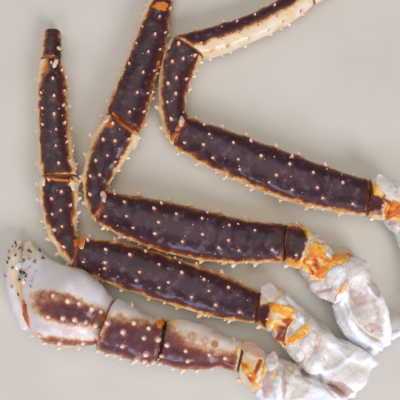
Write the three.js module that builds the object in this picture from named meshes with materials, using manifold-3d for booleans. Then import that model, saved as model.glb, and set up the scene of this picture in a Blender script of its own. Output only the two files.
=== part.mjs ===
/**
 * Leg section of a red king crab at life size: the claw and three walking legs of
 * one side, still joined at the shoulder, laid flat with the knees bent the same way.
 * Millimetres and degrees, +Z up, resting on z = 0, origin under the middle of its box.
 */
import * as THREE from 'three';
import { mergeVertices } from 'three/addons/utils/BufferGeometryUtils.js';
import Module from 'manifold-3d';

const wasm = await Module();
wasm.setup();

// Driving dimensions
const JOINT_GAP = 0.3; // clear space between the shells on either side of a joint
const RING_POINTS = 14; // corners of a cross-section, so that it has a flat underneath
const FOLDED_RING_POINTS = 22; // corners where the skin over the shoulder is folded
const FOLD_COUNT = 5; // ridges around a shoulder piece
const FOLD_DEPTH = 0.055; // rise and fall of a ridge, as a share of the width
const FOLD_TWIST = 1.6; // turn of the ridges along a shoulder piece, in radians
const FULLNESS = 2.35; // superellipse exponent of a cross-section, 2 would be an ellipse
const LIP_LENGTH = 3.2; // rolled rim at each end of a shell
const LIP_DROP = 0.13; // share of the width that the rim rolls in by
const STATION_STEP = 17; // length of shell between two cross-sections
const TURN_SHARPNESS = 4; // how close to a joint the section starts to turn into its face
const STUB_LENGTH = 40; // a shorter segment turns evenly from one joint's face to the other's
const SPINE_SIDES = 5;
const SPINE_ROOT = 2.4; // depth that a spine is sunk into its shell
const SPINE_LEAN = 0.3; // lean of a spine towards the tip of its limb, as a slope
const SPINE_JITTER = 0.16; // share of the spacing and size by which spines vary
const ROW_WANDER = 4; // degrees around the shell by which a spine leaves its row
const RIM_SHARE = 0.04; // share of the length at a rim that spines keep off
const FLOOR_CLEARANCE = 0.4; // lowest that the tip of a spine comes to the floor
const FLOOR_FLAT = 0.5; // how much of a shell's belly is flattened where it lies on the floor
const PLAN_CENTRE = [22.9, 28.6]; // middle of the outline's box in the plan that follows

// Depth of a shell as a share of its width, by kind of segment
const DEPTH = {
  shoulder: 0.74, coxa: 0.8, basis: 0.8, ischium: 0.84, merus: 0.71,
  carpus: 0.82, propodus: 0.8, dactyl: 0.95, palm: 0.64, finger: 1.75, strap: 0.8,
};

// Finishes
const DARK_SHELL = { color: 0x4a3438, roughness: 0.42, metalness: 0 };
const PALE_SHELL = { color: 0xe3dcd6, roughness: 0.38, metalness: 0 };
const ORANGE_SHELL = { color: 0xd98a3c, roughness: 0.45, metalness: 0 };
const MEMBRANE = { color: 0xe9e4e2, roughness: 0.3, metalness: 0 };

// Rows of spines: around is the angle of the row, 0 on the left edge of a limb seen
// from its shoulder, 90 on top and 180 on the right edge, slant is how far that angle
// turns along the row, and the other numbers are the shares of the length where a row
// starts and ends, its count, height and radius.
const MERUS_ROWS = [
  { around: 2, start: 0.12, end: 0.98, count: 7, height: 4.6, radius: 2.3 },
  { around: 70, start: 0.07, end: 0.96, count: 7, height: 3, radius: 2.1 },
  { around: 90, start: 0.28, end: 0.84, count: 4, height: 2.8, radius: 2 },
  { around: 119, start: 0.16, end: 0.86, count: 6, height: 3, radius: 2.1 },
  { around: 147, start: 0.42, end: 0.94, count: 3, height: 3, radius: 2 },
  { around: 175, start: 0.23, end: 0.97, count: 6, height: 4.4, radius: 2.2 },
];
const CARPUS_ROWS = [
  { around: 10, start: 0.14, end: 0.92, count: 5, height: 4.8, radius: 2.4 },
  { around: 75, start: 0.18, end: 0.93, count: 5, height: 3.4, radius: 2.2 },
  { around: 98, start: 0.4, end: 0.8, count: 3, height: 3.2, radius: 2.1 },
  { around: 130, start: 0.63, end: 0.9, count: 2, height: 3.4, radius: 2.2 },
  { around: 172, start: 0.52, end: 0.94, count: 3, height: 4.4, radius: 2.2 },
];
const PROPODUS_ROWS = [
  { around: 12, start: 0.13, end: 0.83, count: 4, height: 3.6, radius: 2 },
  { around: 58, start: 0.43, end: 0.71, count: 3, height: 2.6, radius: 1.8 },
  { around: 102, start: 0.09, end: 0.96, count: 7, height: 2.9, radius: 1.9 },
  { around: 142, start: 0.12, end: 0.88, count: 6, height: 2.9, radius: 1.9 },
  { around: 184, start: 0.08, end: 0.74, count: 5, height: 3.6, radius: 2 },
];
const ISCHIUM_ROWS = [
  { around: 10, start: 0.7, end: 0.7, count: 1, height: 5, radius: 2.3 },
  { around: 70, start: 0.4, end: 0.4, count: 1, height: 3.4, radius: 2.1 },
  { around: 168, start: 0.55, end: 0.55, count: 1, height: 6, radius: 4.4 },
];
const CLAW_MERUS_ROWS = [
  { around: 6, start: 0.5, end: 0.95, count: 4, height: 4.6, radius: 2.4 },
  { around: 57, start: 0.59, end: 0.95, count: 2, height: 3.4, radius: 2.2 },
  { around: 82, start: 0.17, end: 0.92, count: 4, height: 3.2, radius: 2.1 },
];
const CLAW_CARPUS_ROWS = [
  { around: 4, start: 0.16, end: 0.9, count: 5, height: 4.8, radius: 2.5 },
  { around: 34, start: 0.05, end: 0.3, count: 3, height: 3.8, radius: 2.3 },
  { around: 63, start: 0.24, end: 0.95, count: 3, height: 3.6, radius: 2.3 },
  { around: 91, start: 0.05, end: 0.92, count: 4, height: 3.6, radius: 2.3 },
  { around: 118, start: 0.26, end: 0.59, count: 2, height: 3.4, radius: 2.2 },
];
const PALM_ROWS = [
  { around: 7, start: 0.12, end: 0.4, count: 4, height: 4.6, radius: 2.5 },
  { around: 40, slant: -6, start: 0.1, end: 0.34, count: 3, height: 3.8, radius: 2.4 },
  { around: 87, slant: -12, start: 0.06, end: 0.37, count: 5, height: 3, radius: 2.2 },
  { around: 110, slant: -17, start: 0.05, end: 0.42, count: 5, height: 3, radius: 2.3 },
];
const DACTYL_ROWS = [
  { around: 40, start: 0.1, end: 0.5, count: 3, height: 2, radius: 1.3 },
  { around: 140, start: 0.16, end: 0.56, count: 3, height: 2, radius: 1.3 },
];

// Knuckles that stand proud of the rim at the far end of a shell
const KNEE_KNUCKLES = [{ around: 152, radius: 4.4 }];
const WRIST_KNUCKLES = [{ around: 22, radius: 4.2 }, { around: 166, radius: 3.8 }];
const KNUCKLE_SIDES = 8;
const KNUCKLE_FROM_RIM = 2.4; // distance from the joint to the middle of a knuckle

/**
 * A limb starts at its inner end in the shoulder and goes out to its tip. For each
 * segment: its length, the direction of its chord, how far its axis bends away from
 * the chord at either end, the direction that the joint at its far end faces, the
 * height of that joint, and its half width at even steps from near to far end. Where
 * a segment is rolled about its own axis, roll says how far its rows of spines turn.
 */
const LIMBS = [
  {
    name: 'leg1', start: [127.1, -140.6], facing: 150, height: 12,
    segments: [
      { kind: 'shoulder', length: 52.4, along: 148.3, bend: [1, -16], facing: 152, height: 14,
        halfWidths: [18, 20.4, 19.7, 17.6, 20.2, 18.6], shade: MEMBRANE },
      { kind: 'coxa', length: 21.1, along: 133.5, bend: [0, 0], facing: 152, height: 14,
        halfWidths: [18.8, 18.4, 17.6, 16.6], shade: MEMBRANE },
      { kind: 'basis', length: 11.5, along: 132.2, bend: [0, 0], facing: 162, height: 13.4,
        halfWidths: [16.6, 17.2, 17.6], shade: ORANGE_SHELL },
      { kind: 'ischium', length: 15.5, along: 169.9, bend: [0, 0], facing: 172, height: 11.6,
        halfWidths: [17.6, 16.2, 14, 12.6], rows: ISCHIUM_ROWS, shade: ORANGE_SHELL },
      { kind: 'merus', length: 148.3, along: 163.4, bend: [2, 4], facing: 166, height: 11.4,
        halfWidths: [12.8, 16.8, 17.6, 17.8, 17, 13.2], rows: MERUS_ROWS,
        knuckles: KNEE_KNUCKLES, shade: DARK_SHELL },
      { kind: 'carpus', length: 63.4, along: 104.9, bend: [41, -11], facing: 93, height: 11.4,
        halfWidths: [12, 10, 12, 13.7, 15.1, 15.2], rows: CARPUS_ROWS,
        knuckles: WRIST_KNUCKLES, shade: DARK_SHELL },
      { kind: 'propodus', length: 99.3, along: 96, bend: [7, 1], facing: 93, height: 8.2,
        halfWidths: [14.6, 13.7, 12.6, 12.2, 11.9, 9.4], rows: PROPODUS_ROWS, shade: DARK_SHELL },
      { kind: 'dactyl', length: 25.4, along: 88.3, bend: [0, 0], facing: 90, height: 7.2,
        halfWidths: [8.6, 8, 7.4, 7], shade: DARK_SHELL },
    ],
  },
  {
    name: 'leg2', start: [141.8, -117.8], facing: 122, height: 12,
    segments: [
      { kind: 'shoulder', length: 55.6, along: 115.3, bend: [14, -5], facing: 140, height: 14,
        halfWidths: [9, 14, 19, 20.6, 19.8, 21.2], shade: MEMBRANE },
      { kind: 'coxa', length: 26.2, along: 149.4, bend: [0, 0], facing: 146, height: 14,
        halfWidths: [21.2, 20, 17.4, 15.4], shade: MEMBRANE },
      { kind: 'basis', length: 18.2, along: 134.5, bend: [0, 0], facing: 162, height: 13.4,
        halfWidths: [15.4, 16.6, 16.8], shade: ORANGE_SHELL },
      { kind: 'ischium', length: 17.1, along: 161.1, bend: [0, 0], facing: 176, height: 12.2,
        halfWidths: [16.8, 16.4, 16, 15.4], rows: ISCHIUM_ROWS, shade: DARK_SHELL },
      { kind: 'merus', length: 147.4, along: 169.1, bend: [13, -7], facing: 166, height: 12,
        halfWidths: [15.4, 17.2, 19.6, 20, 18, 13.8], rows: MERUS_ROWS,
        knuckles: KNEE_KNUCKLES, shade: DARK_SHELL },
      { kind: 'carpus', length: 70.1, along: 77.3, bend: [53, -12], facing: 62, height: 11.8,
        halfWidths: [13.6, 10, 12, 14.7, 16.7, 16.5], rows: CARPUS_ROWS,
        knuckles: WRIST_KNUCKLES, shade: DARK_SHELL },
      { kind: 'propodus', length: 115.8, along: 74.1, bend: [-2, 3], facing: 74, height: 8.6,
        halfWidths: [16.6, 16, 14.4, 13.4, 12.2, 9.8], rows: PROPODUS_ROWS, shade: DARK_SHELL },
      { kind: 'dactyl', length: 78, along: 66, bend: [8, -14], facing: 52, height: 2.6,
        halfWidths: [9.4, 8, 6.8, 5.4, 3.6, 1], rows: DACTYL_ROWS, shade: DARK_SHELL },
    ],
  },
  {
    name: 'leg3', start: [180, -113.2], facing: 92, height: 12,
    segments: [
      { kind: 'shoulder', length: 81.9, along: 91, bend: [0, 12], facing: 125, height: 14,
        halfWidths: [11, 14.6, 16.4, 17, 17.4, 20.4], shade: MEMBRANE },
      { kind: 'coxa', length: 23.8, along: 137.9, bend: [0, 0], facing: 155, height: 14,
        halfWidths: [21, 19.6, 17.4, 16], shade: MEMBRANE },
      { kind: 'basis', length: 16.5, along: 128.8, bend: [0, 0], facing: 165, height: 13.4,
        halfWidths: [16, 16.6, 16.6], shade: ORANGE_SHELL },
      { kind: 'ischium', length: 16.5, along: 170.2, bend: [0, 0], facing: 176, height: 11.8,
        halfWidths: [16.6, 16.4, 15.8, 15.2], rows: ISCHIUM_ROWS, shade: ORANGE_SHELL },
      { kind: 'merus', length: 159.1, along: 160.5, bend: [11, -4], facing: 153, height: 11.6,
        halfWidths: [15.2, 17, 18.6, 18.3, 17.2, 14.4], roll: -11, rows: MERUS_ROWS,
        knuckles: KNEE_KNUCKLES, shade: DARK_SHELL },
      { kind: 'carpus', length: 71.7, along: 86, bend: [35, -25], facing: 57, height: 11.4,
        halfWidths: [13.6, 11, 11.6, 13, 14.8, 15.6], rows: CARPUS_ROWS,
        knuckles: WRIST_KNUCKLES, shade: DARK_SHELL },
      { kind: 'propodus', length: 112.5, along: 24.8, bend: [-12, 13], facing: 27, height: 8.2,
        halfWidths: [15.2, 12.6, 11.4, 10.8, 10.6, 9.4], rows: PROPODUS_ROWS, shade: DARK_SHELL },
      { kind: 'dactyl', length: 76, along: 17, bend: [8, -14], facing: 3, height: 2.6,
        halfWidths: [9, 7.8, 6.6, 5.2, 3.5, 1], rows: DACTYL_ROWS, shade: DARK_SHELL },
    ],
  },
  {
    name: 'claw', start: [106, -171.9], facing: 145, height: 12.6,
    segments: [
      { kind: 'shoulder', length: 47.1, along: 149.2, bend: [6, -8], facing: 145, height: 14.6,
        halfWidths: [17, 21, 22, 21.4, 20, 19.6], shade: MEMBRANE },
      { kind: 'coxa', length: 22.2, along: 149.5, bend: [0, 0], facing: 160, height: 14.4,
        halfWidths: [19.6, 18.8, 17.4, 16.4], shade: MEMBRANE },
      { kind: 'ischium', length: 19, along: 141.9, bend: [0, 0], facing: 166, height: 13,
        halfWidths: [16.4, 15.6, 13.6, 12], rows: ISCHIUM_ROWS, shade: ORANGE_SHELL },
      { kind: 'merus', length: 62.7, along: 167.7, bend: [-5, 2], facing: 172, height: 13.4,
        halfWidths: [12, 12, 15.6, 17.8, 18.6, 16.8], rows: CLAW_MERUS_ROWS, shade: DARK_SHELL },
      { kind: 'carpus', length: 45.9, along: 162.5, bend: [27, -4], facing: 158, height: 15,
        halfWidths: [17.6, 17.6, 18.2, 19.2, 20.8, 20.6], rows: CLAW_CARPUS_ROWS,
        shade: PALE_SHELL },
      { kind: 'palm', length: 90.1, along: 135.7, bend: [34, -45], facing: 112, height: 9,
        halfWidths: [19.6, 27.8, 30.4, 22, 13, 3.4], rows: PALM_ROWS, shade: PALE_SHELL },
    ],
  },
];

// The claw's movable finger, hinged at the lower corner of the palm
const FINGER = {
  kind: 'finger', start: [-132.4, -103], startFacing: 122, startHeight: 15,
  length: 71.9, along: 98.8, bend: [19, -30], facing: 78, height: 9.4,
  halfWidths: [5.4, 6.6, 7, 6.6, 5.2, 1.6], shade: PALE_SHELL,
};

// The strap of skin that ties the third leg's shoulder piece to the second's
const STRAP = {
  kind: 'strap', start: [172, -100], startFacing: 200, startHeight: 10,
  length: 25, along: 202, bend: [0, 0], facing: 205, height: 9.4,
  halfWidths: [6, 4.2, 2.6, 2.6, 4.6],
};

const radians = THREE.MathUtils.degToRad;

/** A repeatable number between -1 and 1 for the given count. */
function wobble(count) {
  const spread = Math.sin(count * 12.9898 + 4.1) * 43758.5453;
  return 2 * (spread - Math.floor(spread)) - 1;
}

/** Smooth value of a list of sizes given at even steps, at a share t of the way. */
function sizeAlong(sizes, t) {
  const points = sizes.map((size, index) => new THREE.Vector2(index, size));
  return new THREE.SplineCurve(points).getPoint(t).y;
}

/** One segment of a limb: a closed shell lofted along its own bent axis. */
class Segment {
  constructor(sizes, near) {
    Object.assign(this, sizes);
    this.near = near;
    const along = radians(this.along);
    this.far = {
      x: near.x + this.length * Math.cos(along),
      y: near.y + this.length * Math.sin(along),
      facing: this.facing,
      height: this.height,
    };
    const ends = this.bend.map((angle) => along + radians(angle));
    this.headings = ends;
    const reach = this.length / 3;
    this.axis = new THREE.CubicBezierCurve(
      new THREE.Vector2(near.x, near.y),
      new THREE.Vector2(near.x + reach * Math.cos(ends[0]), near.y + reach * Math.sin(ends[0])),
      new THREE.Vector2(this.far.x - reach * Math.cos(ends[1]), this.far.y - reach * Math.sin(ends[1])),
      new THREE.Vector2(this.far.x, this.far.y),
    );
  }

  /** Heading of the plane of the cross-section at a share t of the length. */
  heading(t) {
    if (this.length < STUB_LENGTH) {
      return radians(THREE.MathUtils.lerp(this.near.facing, this.far.facing, t));
    }
    const tangent = this.axis.getTangent(t);
    const nearTurn = radians(this.near.facing) - this.headings[0];
    const farTurn = radians(this.far.facing) - this.headings[1];
    return Math.atan2(tangent.y, tangent.x)
      + nearTurn * (1 - t) ** TURN_SHARPNESS + farTurn * t ** TURN_SHARPNESS;
  }

  /**
   * Point of the shell at a share t of the length and an angle around it. With grow,
   * the shell is that much larger all round, as room for it in a neighbour.
   */
  point(t, around, grow = 0) {
    const centre = this.axis.getPoint(t);
    const heading = this.heading(t);
    const toEnd = Math.min(t, 1 - t) * this.length;
    const lip = Math.max(0, 1 - toEnd / LIP_LENGTH);
    const folds = this.kind === 'shoulder' ? Math.cos(FOLD_COUNT * around + FOLD_TWIST * t) : 0;
    const size = (1 - LIP_DROP * lip * lip) * (1 + FOLD_DEPTH * folds);
    const halfWidth = sizeAlong(this.halfWidths, t) * size + grow;
    const halfDepth = (halfWidth - grow) * DEPTH[this.kind] + grow;
    const rounded = (value) => Math.sign(value) * Math.abs(value) ** (2 / FULLNESS);
    const side = rounded(Math.cos(around)) * halfWidth;
    const laid = THREE.MathUtils.lerp(this.near.height, this.far.height, t);
    const middle = Math.max(laid, halfDepth - grow - FLOOR_FLAT);
    const inset = (JOINT_GAP / 2 - grow) * (t === 0 ? 1 : t === 1 ? -1 : 0);
    return new THREE.Vector3(
      centre.x - Math.sin(heading) * side + Math.cos(heading) * inset,
      centre.y + Math.cos(heading) * side + Math.sin(heading) * inset,
      Math.max(-grow, middle + rounded(Math.sin(around)) * halfDepth),
    );
  }

  /** Shares of the length that get a cross-section: close together at the rims. */
  stations() {
    const rim = LIP_LENGTH / this.length;
    const steps = Math.max(2, Math.round(this.length / STATION_STEP));
    const inner = Array.from({ length: steps + 1 }, (_, i) => rim + (1 - 2 * rim) * i / steps);
    return [0, ...inner, 1];
  }

  /** The shell without its spines, or with grow the room that it needs. */
  shell(grow = 0) {
    const stations = this.stations();
    const around = this.kind === 'shoulder' ? FOLDED_RING_POINTS : RING_POINTS;
    const corners = [];
    for (const t of stations) {
      for (let i = 0; i < around; i += 1) {
        corners.push(this.point(t, 2 * Math.PI * i / around, grow));
      }
    }
    const faces = [];
    const last = (stations.length - 1) * around;
    for (let ring = 0; ring < last; ring += around) {
      for (let i = 0; i < around; i += 1) {
        const next = (i + 1) % around;
        const [a, b, c, d] = [ring + i, ring + next, ring + around + next, ring + around + i];
        faces.push(a, b, d, b, c, d);
      }
    }
    for (let i = 1; i < around - 1; i += 1) {
      faces.push(0, i + 1, i, last, last + i, last + i + 1);
    }
    return solidFrom(corners, faces);
  }

  /** Place and size of each spine of a row, varied as they are on the animal. */
  rowPlaces(row, rowIndex) {
    const steps = Math.max(1, row.count - 1);
    const pitch = (row.end - row.start) / steps;
    const slant = (row.slant ?? 0) / steps;
    return Array.from({ length: row.count }, (_, i) => {
      const seed = this.seed + rowIndex * 31 + i * 7;
      const t = row.start + pitch * (i + SPINE_JITTER * wobble(seed));
      const size = 1 + SPINE_JITTER * wobble(seed + 2);
      const turn = (this.roll ?? 0) + slant * i + ROW_WANDER * wobble(seed + 1);
      return {
        t: THREE.MathUtils.clamp(t, RIM_SHARE, 1 - RIM_SHARE),
        around: radians(row.around + turn),
        height: row.height * size,
        radius: row.radius * size,
      };
    });
  }

  /** Spines of every row, each sunk into the shell and leaning towards the tip. */
  spines() {
    const places = (this.rows ?? []).flatMap((row, rowIndex) => this.rowPlaces(row, rowIndex));
    return places.map(({ t, around, height, radius }) => this.spine(t, around, height, radius));
  }

  /** One spine: a blunt cone standing on the shell. */
  spine(t, around, height, radius) {
    const step = 0.01;
    const foot = this.point(t, around);
    const onward = this.point(t + step, around).sub(foot);
    const sideways = this.point(t, around + step).sub(foot);
    const outward = sideways.cross(onward).normalize();
    const lean = onward.normalize().multiplyScalar(SPINE_LEAN);
    const direction = outward.add(lean).normalize();
    const cone = new THREE.ConeGeometry(radius, height + SPINE_ROOT, SPINE_SIDES, 1);
    cone.translate(0, (height + SPINE_ROOT) / 2 - SPINE_ROOT, 0);
    cone.applyQuaternion(new THREE.Quaternion().setFromUnitVectors(new THREE.Vector3(0, 1, 0), direction));
    cone.translate(foot.x, foot.y, foot.z);
    cone.computeBoundingBox();
    cone.translate(0, 0, Math.max(0, FLOOR_CLEARANCE - cone.boundingBox.min.z));
    return solidFromGeometry(cone);
  }

  /** Rounded knuckles at the far rim, half sunk into the shell. */
  knuckleBalls() {
    const t = 1 - KNUCKLE_FROM_RIM / this.length;
    return (this.knuckles ?? []).map(({ around, radius }) => {
      const ball = new THREE.SphereGeometry(radius, KNUCKLE_SIDES, KNUCKLE_SIDES - 2);
      const place = this.point(t, radians(around));
      const centre = this.point(t, radians(around) + Math.PI).lerp(place, 0.9);
      ball.translate(centre.x, centre.y, centre.z);
      return solidFromGeometry(ball);
    });
  }

  /** Room that this segment's shell needs in a neighbour. */
  get room() {
    this.grownShell ??= this.shell(JOINT_GAP);
    return this.grownShell;
  }

  /**
   * The whole segment as one closed solid. It gives way to the shells of others named
   * in yieldTo, and grows no spine that would reach into a shell of another limb.
   */
  solid(strangers, yieldTo) {
    const clear = (cone) => strangers.every((other) => cone.intersect(other.room).isEmpty());
    const added = [...this.spines().filter(clear), ...this.knuckleBalls()];
    const body = added.reduce((whole, piece) => whole.add(piece), this.shell());
    return yieldTo.reduce((rest, other) => rest.subtract(other.room), body);
  }
}

/** A closed solid from corner points and triangles. */
function solidFrom(corners, faces) {
  return new wasm.Manifold(new wasm.Mesh({
    numProp: 3,
    vertProperties: new Float32Array(corners.flatMap((corner) => corner.toArray())),
    triVerts: new Uint32Array(faces),
  }));
}

/** A closed solid from a three.js geometry. */
function solidFromGeometry(geometry) {
  const bare = geometry.clone();
  bare.deleteAttribute('normal');
  bare.deleteAttribute('uv');
  const merged = mergeVertices(bare, 1e-4);
  const index = Array.from(merged.index.array);
  const faces = [];
  for (let i = 0; i < index.length; i += 3) {
    const [a, b, c] = index.slice(i, i + 3);
    if (a !== b && b !== c && c !== a) faces.push(a, b, c);
  }
  return new wasm.Manifold(new wasm.Mesh({
    numProp: 3,
    vertProperties: new Float32Array(merged.attributes.position.array),
    triVerts: new Uint32Array(faces),
  }));
}

/** The largest closed piece of a solid. */
function largest(solid) {
  return solid.decompose().reduce((best, piece) => (piece.volume() > best.volume() ? piece : best));
}

/** A named mesh of a solid. */
function meshOf(name, solid, shade) {
  const { vertProperties, triVerts } = solid.getMesh();
  const geometry = new THREE.BufferGeometry();
  geometry.setAttribute('position', new THREE.BufferAttribute(new Float32Array(vertProperties), 3));
  geometry.setIndex(new THREE.BufferAttribute(new Uint32Array(triVerts), 1));
  geometry.computeVertexNormals();
  const mesh = new THREE.Mesh(geometry, new THREE.MeshStandardMaterial(shade));
  mesh.name = name;
  return mesh;
}

/** The segments of a limb, from the shoulder outwards. */
function segmentsOf(limb, limbIndex) {
  let near = { x: limb.start[0], y: limb.start[1], facing: limb.facing, height: limb.height };
  return limb.segments.map((sizes, index) => {
    const name = `${limb.name}_${sizes.kind}`;
    const segment = new Segment({ ...sizes, name, limb, seed: limbIndex * 1000 + index * 100 }, near);
    near = segment.far;
    return segment;
  });
}

/** A single piece that starts at a place of its own. */
function loosePiece(sizes, name, limb) {
  const { start, startFacing, startHeight } = sizes;
  const near = { x: start[0], y: start[1], facing: startFacing, height: startHeight };
  return new Segment({ ...sizes, name, limb, seed: 0 }, near);
}

const limbs = LIMBS.map(segmentsOf);
const claw = LIMBS.find((limb) => limb.name === 'claw');
const finger = loosePiece(FINGER, 'claw_finger', claw);
const strap = loosePiece(STRAP, 'strap', null);
const segments = [...limbs.flat(), finger];

const section = new THREE.Group();
section.position.set(-PLAN_CENTRE[0], -PLAN_CENTRE[1], 0);
segments.forEach((segment, index) => {
  const strangers = segments.filter((other) => other.limb !== segment.limb);
  const yieldTo = strangers.filter((other) => segments.indexOf(other) < index);
  if (segment.name === 'claw_palm') yieldTo.push(finger);
  if (segment.knuckles) yieldTo.push(segments[index + 1]);
  let solid = segment.solid(strangers, yieldTo);
  if (segment.name === 'leg3_shoulder') {
    const secondShoulder = segments.find((other) => other.name === 'leg2_shoulder');
    solid = solid.add(strap.shell()).subtract(secondShoulder.room);
  }
  section.add(meshOf(segment.name, largest(solid), segment.shade));
});

const whole = new THREE.Group();
whole.add(section);
export default whole;
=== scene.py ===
"""Looks of a red king crab's leg section, the claw and three walking legs of one side.

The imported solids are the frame. Each of their shells is replaced by a finer one, lofted
from the same sizes, with its own markings, spines, joint skins and bristles. The tables
are in millimetres and degrees, the meshes in metres, with +Z up.
"""

import logging
import math
from collections.abc import Callable, Iterable
from dataclasses import dataclass, field
from enum import Enum
from typing import Any

import bpy
import numpy as np
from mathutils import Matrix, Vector
from mathutils.bvhtree import BVHTree


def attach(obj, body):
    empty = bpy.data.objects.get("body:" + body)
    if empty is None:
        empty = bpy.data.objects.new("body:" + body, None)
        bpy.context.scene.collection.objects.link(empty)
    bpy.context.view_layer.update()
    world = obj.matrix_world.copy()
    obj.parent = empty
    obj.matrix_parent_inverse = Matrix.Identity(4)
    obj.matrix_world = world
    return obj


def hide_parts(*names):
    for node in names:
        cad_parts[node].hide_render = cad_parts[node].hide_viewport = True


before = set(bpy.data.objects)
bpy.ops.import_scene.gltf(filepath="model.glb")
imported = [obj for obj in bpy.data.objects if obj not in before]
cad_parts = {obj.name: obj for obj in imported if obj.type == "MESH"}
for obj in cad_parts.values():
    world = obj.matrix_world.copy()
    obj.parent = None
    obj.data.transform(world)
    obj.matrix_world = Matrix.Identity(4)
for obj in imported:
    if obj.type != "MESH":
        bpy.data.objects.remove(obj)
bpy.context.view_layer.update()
BODY = "root"

log = logging.getLogger("crab")

# Sizes of the shells, as in the solids
MM = 0.001
PLAN_CENTRE = (22.9, 28.6)  # middle of the outline's box in the plan of the tables
FULLNESS = 2.35  # superellipse exponent of a cross-section
LIP_LENGTH = 3.2  # rolled rim at each end of a shell
LIP_DROP = 0.13  # share of the width that the rim rolls in by
TURN_SHARPNESS = 4  # how close to a joint the section starts to turn into its face
STUB_LENGTH = 40  # a shorter segment turns evenly from one joint's face to the other's
FLOOR_FLAT = 0.5  # how much of a belly is flattened where it lies on the floor
FOLD_COUNT, FOLD_DEPTH, FOLD_TWIST = 5, 0.055, 1.6  # ridges of the shoulder skin
SPINE_LEAN = 0.3  # lean of a spine towards the tip of its limb, as a slope
SPINE_JITTER = 0.16  # share of spacing and size by which spines vary
ROW_WANDER = 4  # degrees around the shell by which a spine leaves its row
RIM_SHARE = 0.04  # share of the length at a rim that spines keep off
FLOOR_CLEARANCE = 0.4  # lowest that the tip of a spine comes to the floor
SOLID_REACH = 0.5  # share of a spine's height within which its solid has the spine too

# Spines by place, as shares of the height and the radius of their row
EDGE_SPINE = (0.85, 1.2)  # low on the side of a shell
FACE_SPINE = (0.9, 0.82)  # on a dark face
KNOB_SPINE = (0.9, 1.25)  # on the claw's blunt faces
EDGE_SINE = 0.5  # sine of the angle around below which a spine counts as low
EDGE_SHADE = 0.15  # how much of a face spine's reddish root a low one has

# Granules, on the upper face and along both edges of a shell
FACE_SHARES, FACE_ARC, FACE_GRAINS = (0.05, 0.95), (15, 165), (0.7, 1.3)
EDGE_SHARES, EDGE_ARC, EDGE_GRAINS = (0.04, 0.96), (-14, 20), (1.0, 2.3)
GRAIN_HEIGHT, GRAIN_RADIUS = 0.9, 0.75  # shares of a face granule's size
EDGE_GRAIN_RADIUS = 0.8  # share of an edge granule's size
LOWEST_GRAIN = 3  # height over the floor below which no edge granule stands

# Sizes of the finer surface
GRID = 0.8  # mesh step on a shell
JOINT_CLEAR = 0.9  # how far a shell stops short of the plane of a joint
RIM_FADE = 2.5  # distance from a rim over which the relief sets in
WAVE_REACH = 9  # how far from a rim its waves still move the rings
SPINE_SUNK = 1.2  # depth of a spine's root in its shell
FAR_OFF = 16.0  # distance written where a marking is nowhere near
SKIN_LIP_DROP = 0.05  # rims that show under the skin
RIM_TWIST, RIM_EVEN = 3, 1.4  # turn of the waves of a rim, and what evens out their sum
ROOT_RISE, ROOT_SHADED, ROOT_REACH = 0.5, 0.18, 1.2  # a spine's mound, by its radius
FACE_WANDER, FACE_WAVE, BELLY_PULL = 0.5, 11, 2.5  # how the edge of a dark face runs
RING_SIDES, RING_WIDTH = 12, -0.3  # of the faint rings round old spine roots

# How markings lie on a surface
EDGE_WAVES, GEL_WAVE = ((6.0, 0.55), (2.2, 0.25)), 4.5  # waves of their edges and of gel
EDGE_FADE = 2.2  # width over which a marking fades out
FIRM_SIZE = 3  # half width from which the edge of a marking wanders in full
MARK_MARGIN = 3  # distance from a marking beyond which it is passed over
DISH_FALL, DOME_ROUND = 1.6, 0.7  # steepness of a dish's wall and roundness of a dome
TURNED_DOWN, DOWN_SLOPE = 8, 0.1  # how fast markings end where a surface turns down
GEL_TONE, GEL_FADE, GEL_RISE = 0.56, 0.08, 0.5  # tones up to the first swell like a gel

# Lumps and plates
PLATE_STEPS, PLATE_ROUNDS = 10, 4  # points to a side, and how often they are evened
PROBE_TOP = 0.1  # height in metres that the ground is probed from
PROBE_SHARE = 0.7  # how far out the ground is probed, as a share of the lump's size
STEEPEST, LEVEL = 0.8, 8  # slope of a lump's foot, and its height where nothing is below
LUMP_SUNK, LUMP_FOOT = 0.25, 3  # how deep it sits, and how far down its foot goes
LUMP_WAVES = ((5.0, 0.13), (2.0, 0.05))  # the first by the lump's height
LUMP_TURNS = np.radians(np.linspace(-84, 84, 17))  # latitudes of a lump's rings
TONE_FOOT, TONE_SPAN, TONE_LEAST = 0.1, 0.6, 0.15  # where a lump takes up its own tone

# Tufts of hair
GOLDEN_TURN = 2.39996  # radians from one corner of a hair's patch to the next
PATCH_RADIUS = 0.0015  # of a tuft's patch on the shell's unwrap
HAIR_RADIUS, HAIR_HEIGHTS, HAIR_COMB = 0.2, (1.6, 2.8), (0.3, 0.9)
HAIR_SPREAD, HAIR_ARC, HAIR_STRAY = 0.55, 3, 0.13  # millimetres along, degrees round, slope
LAST_HAIR = 0.97  # share of the length beyond which no hair stands
HAIR_LIFT = 0.05  # slope of a hair that would otherwise reach the floor

# Seeds of the random draws, and their steps
LIMB_SEED, SEGMENT_SEED = 1000, 100  # from limb to limb and along one
ROW_STEP, SPINE_STEP = 31, 7  # from row to row and from spine to spine
GRAIN_SEED, FACE_SEED, RELIEF_SEED, HAIR_SEED = 5, 3, 11, 77  # added to a segment's own
EDGE_SEED, GEL_SEED = 21, 23  # of the markings, the same all over


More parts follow.
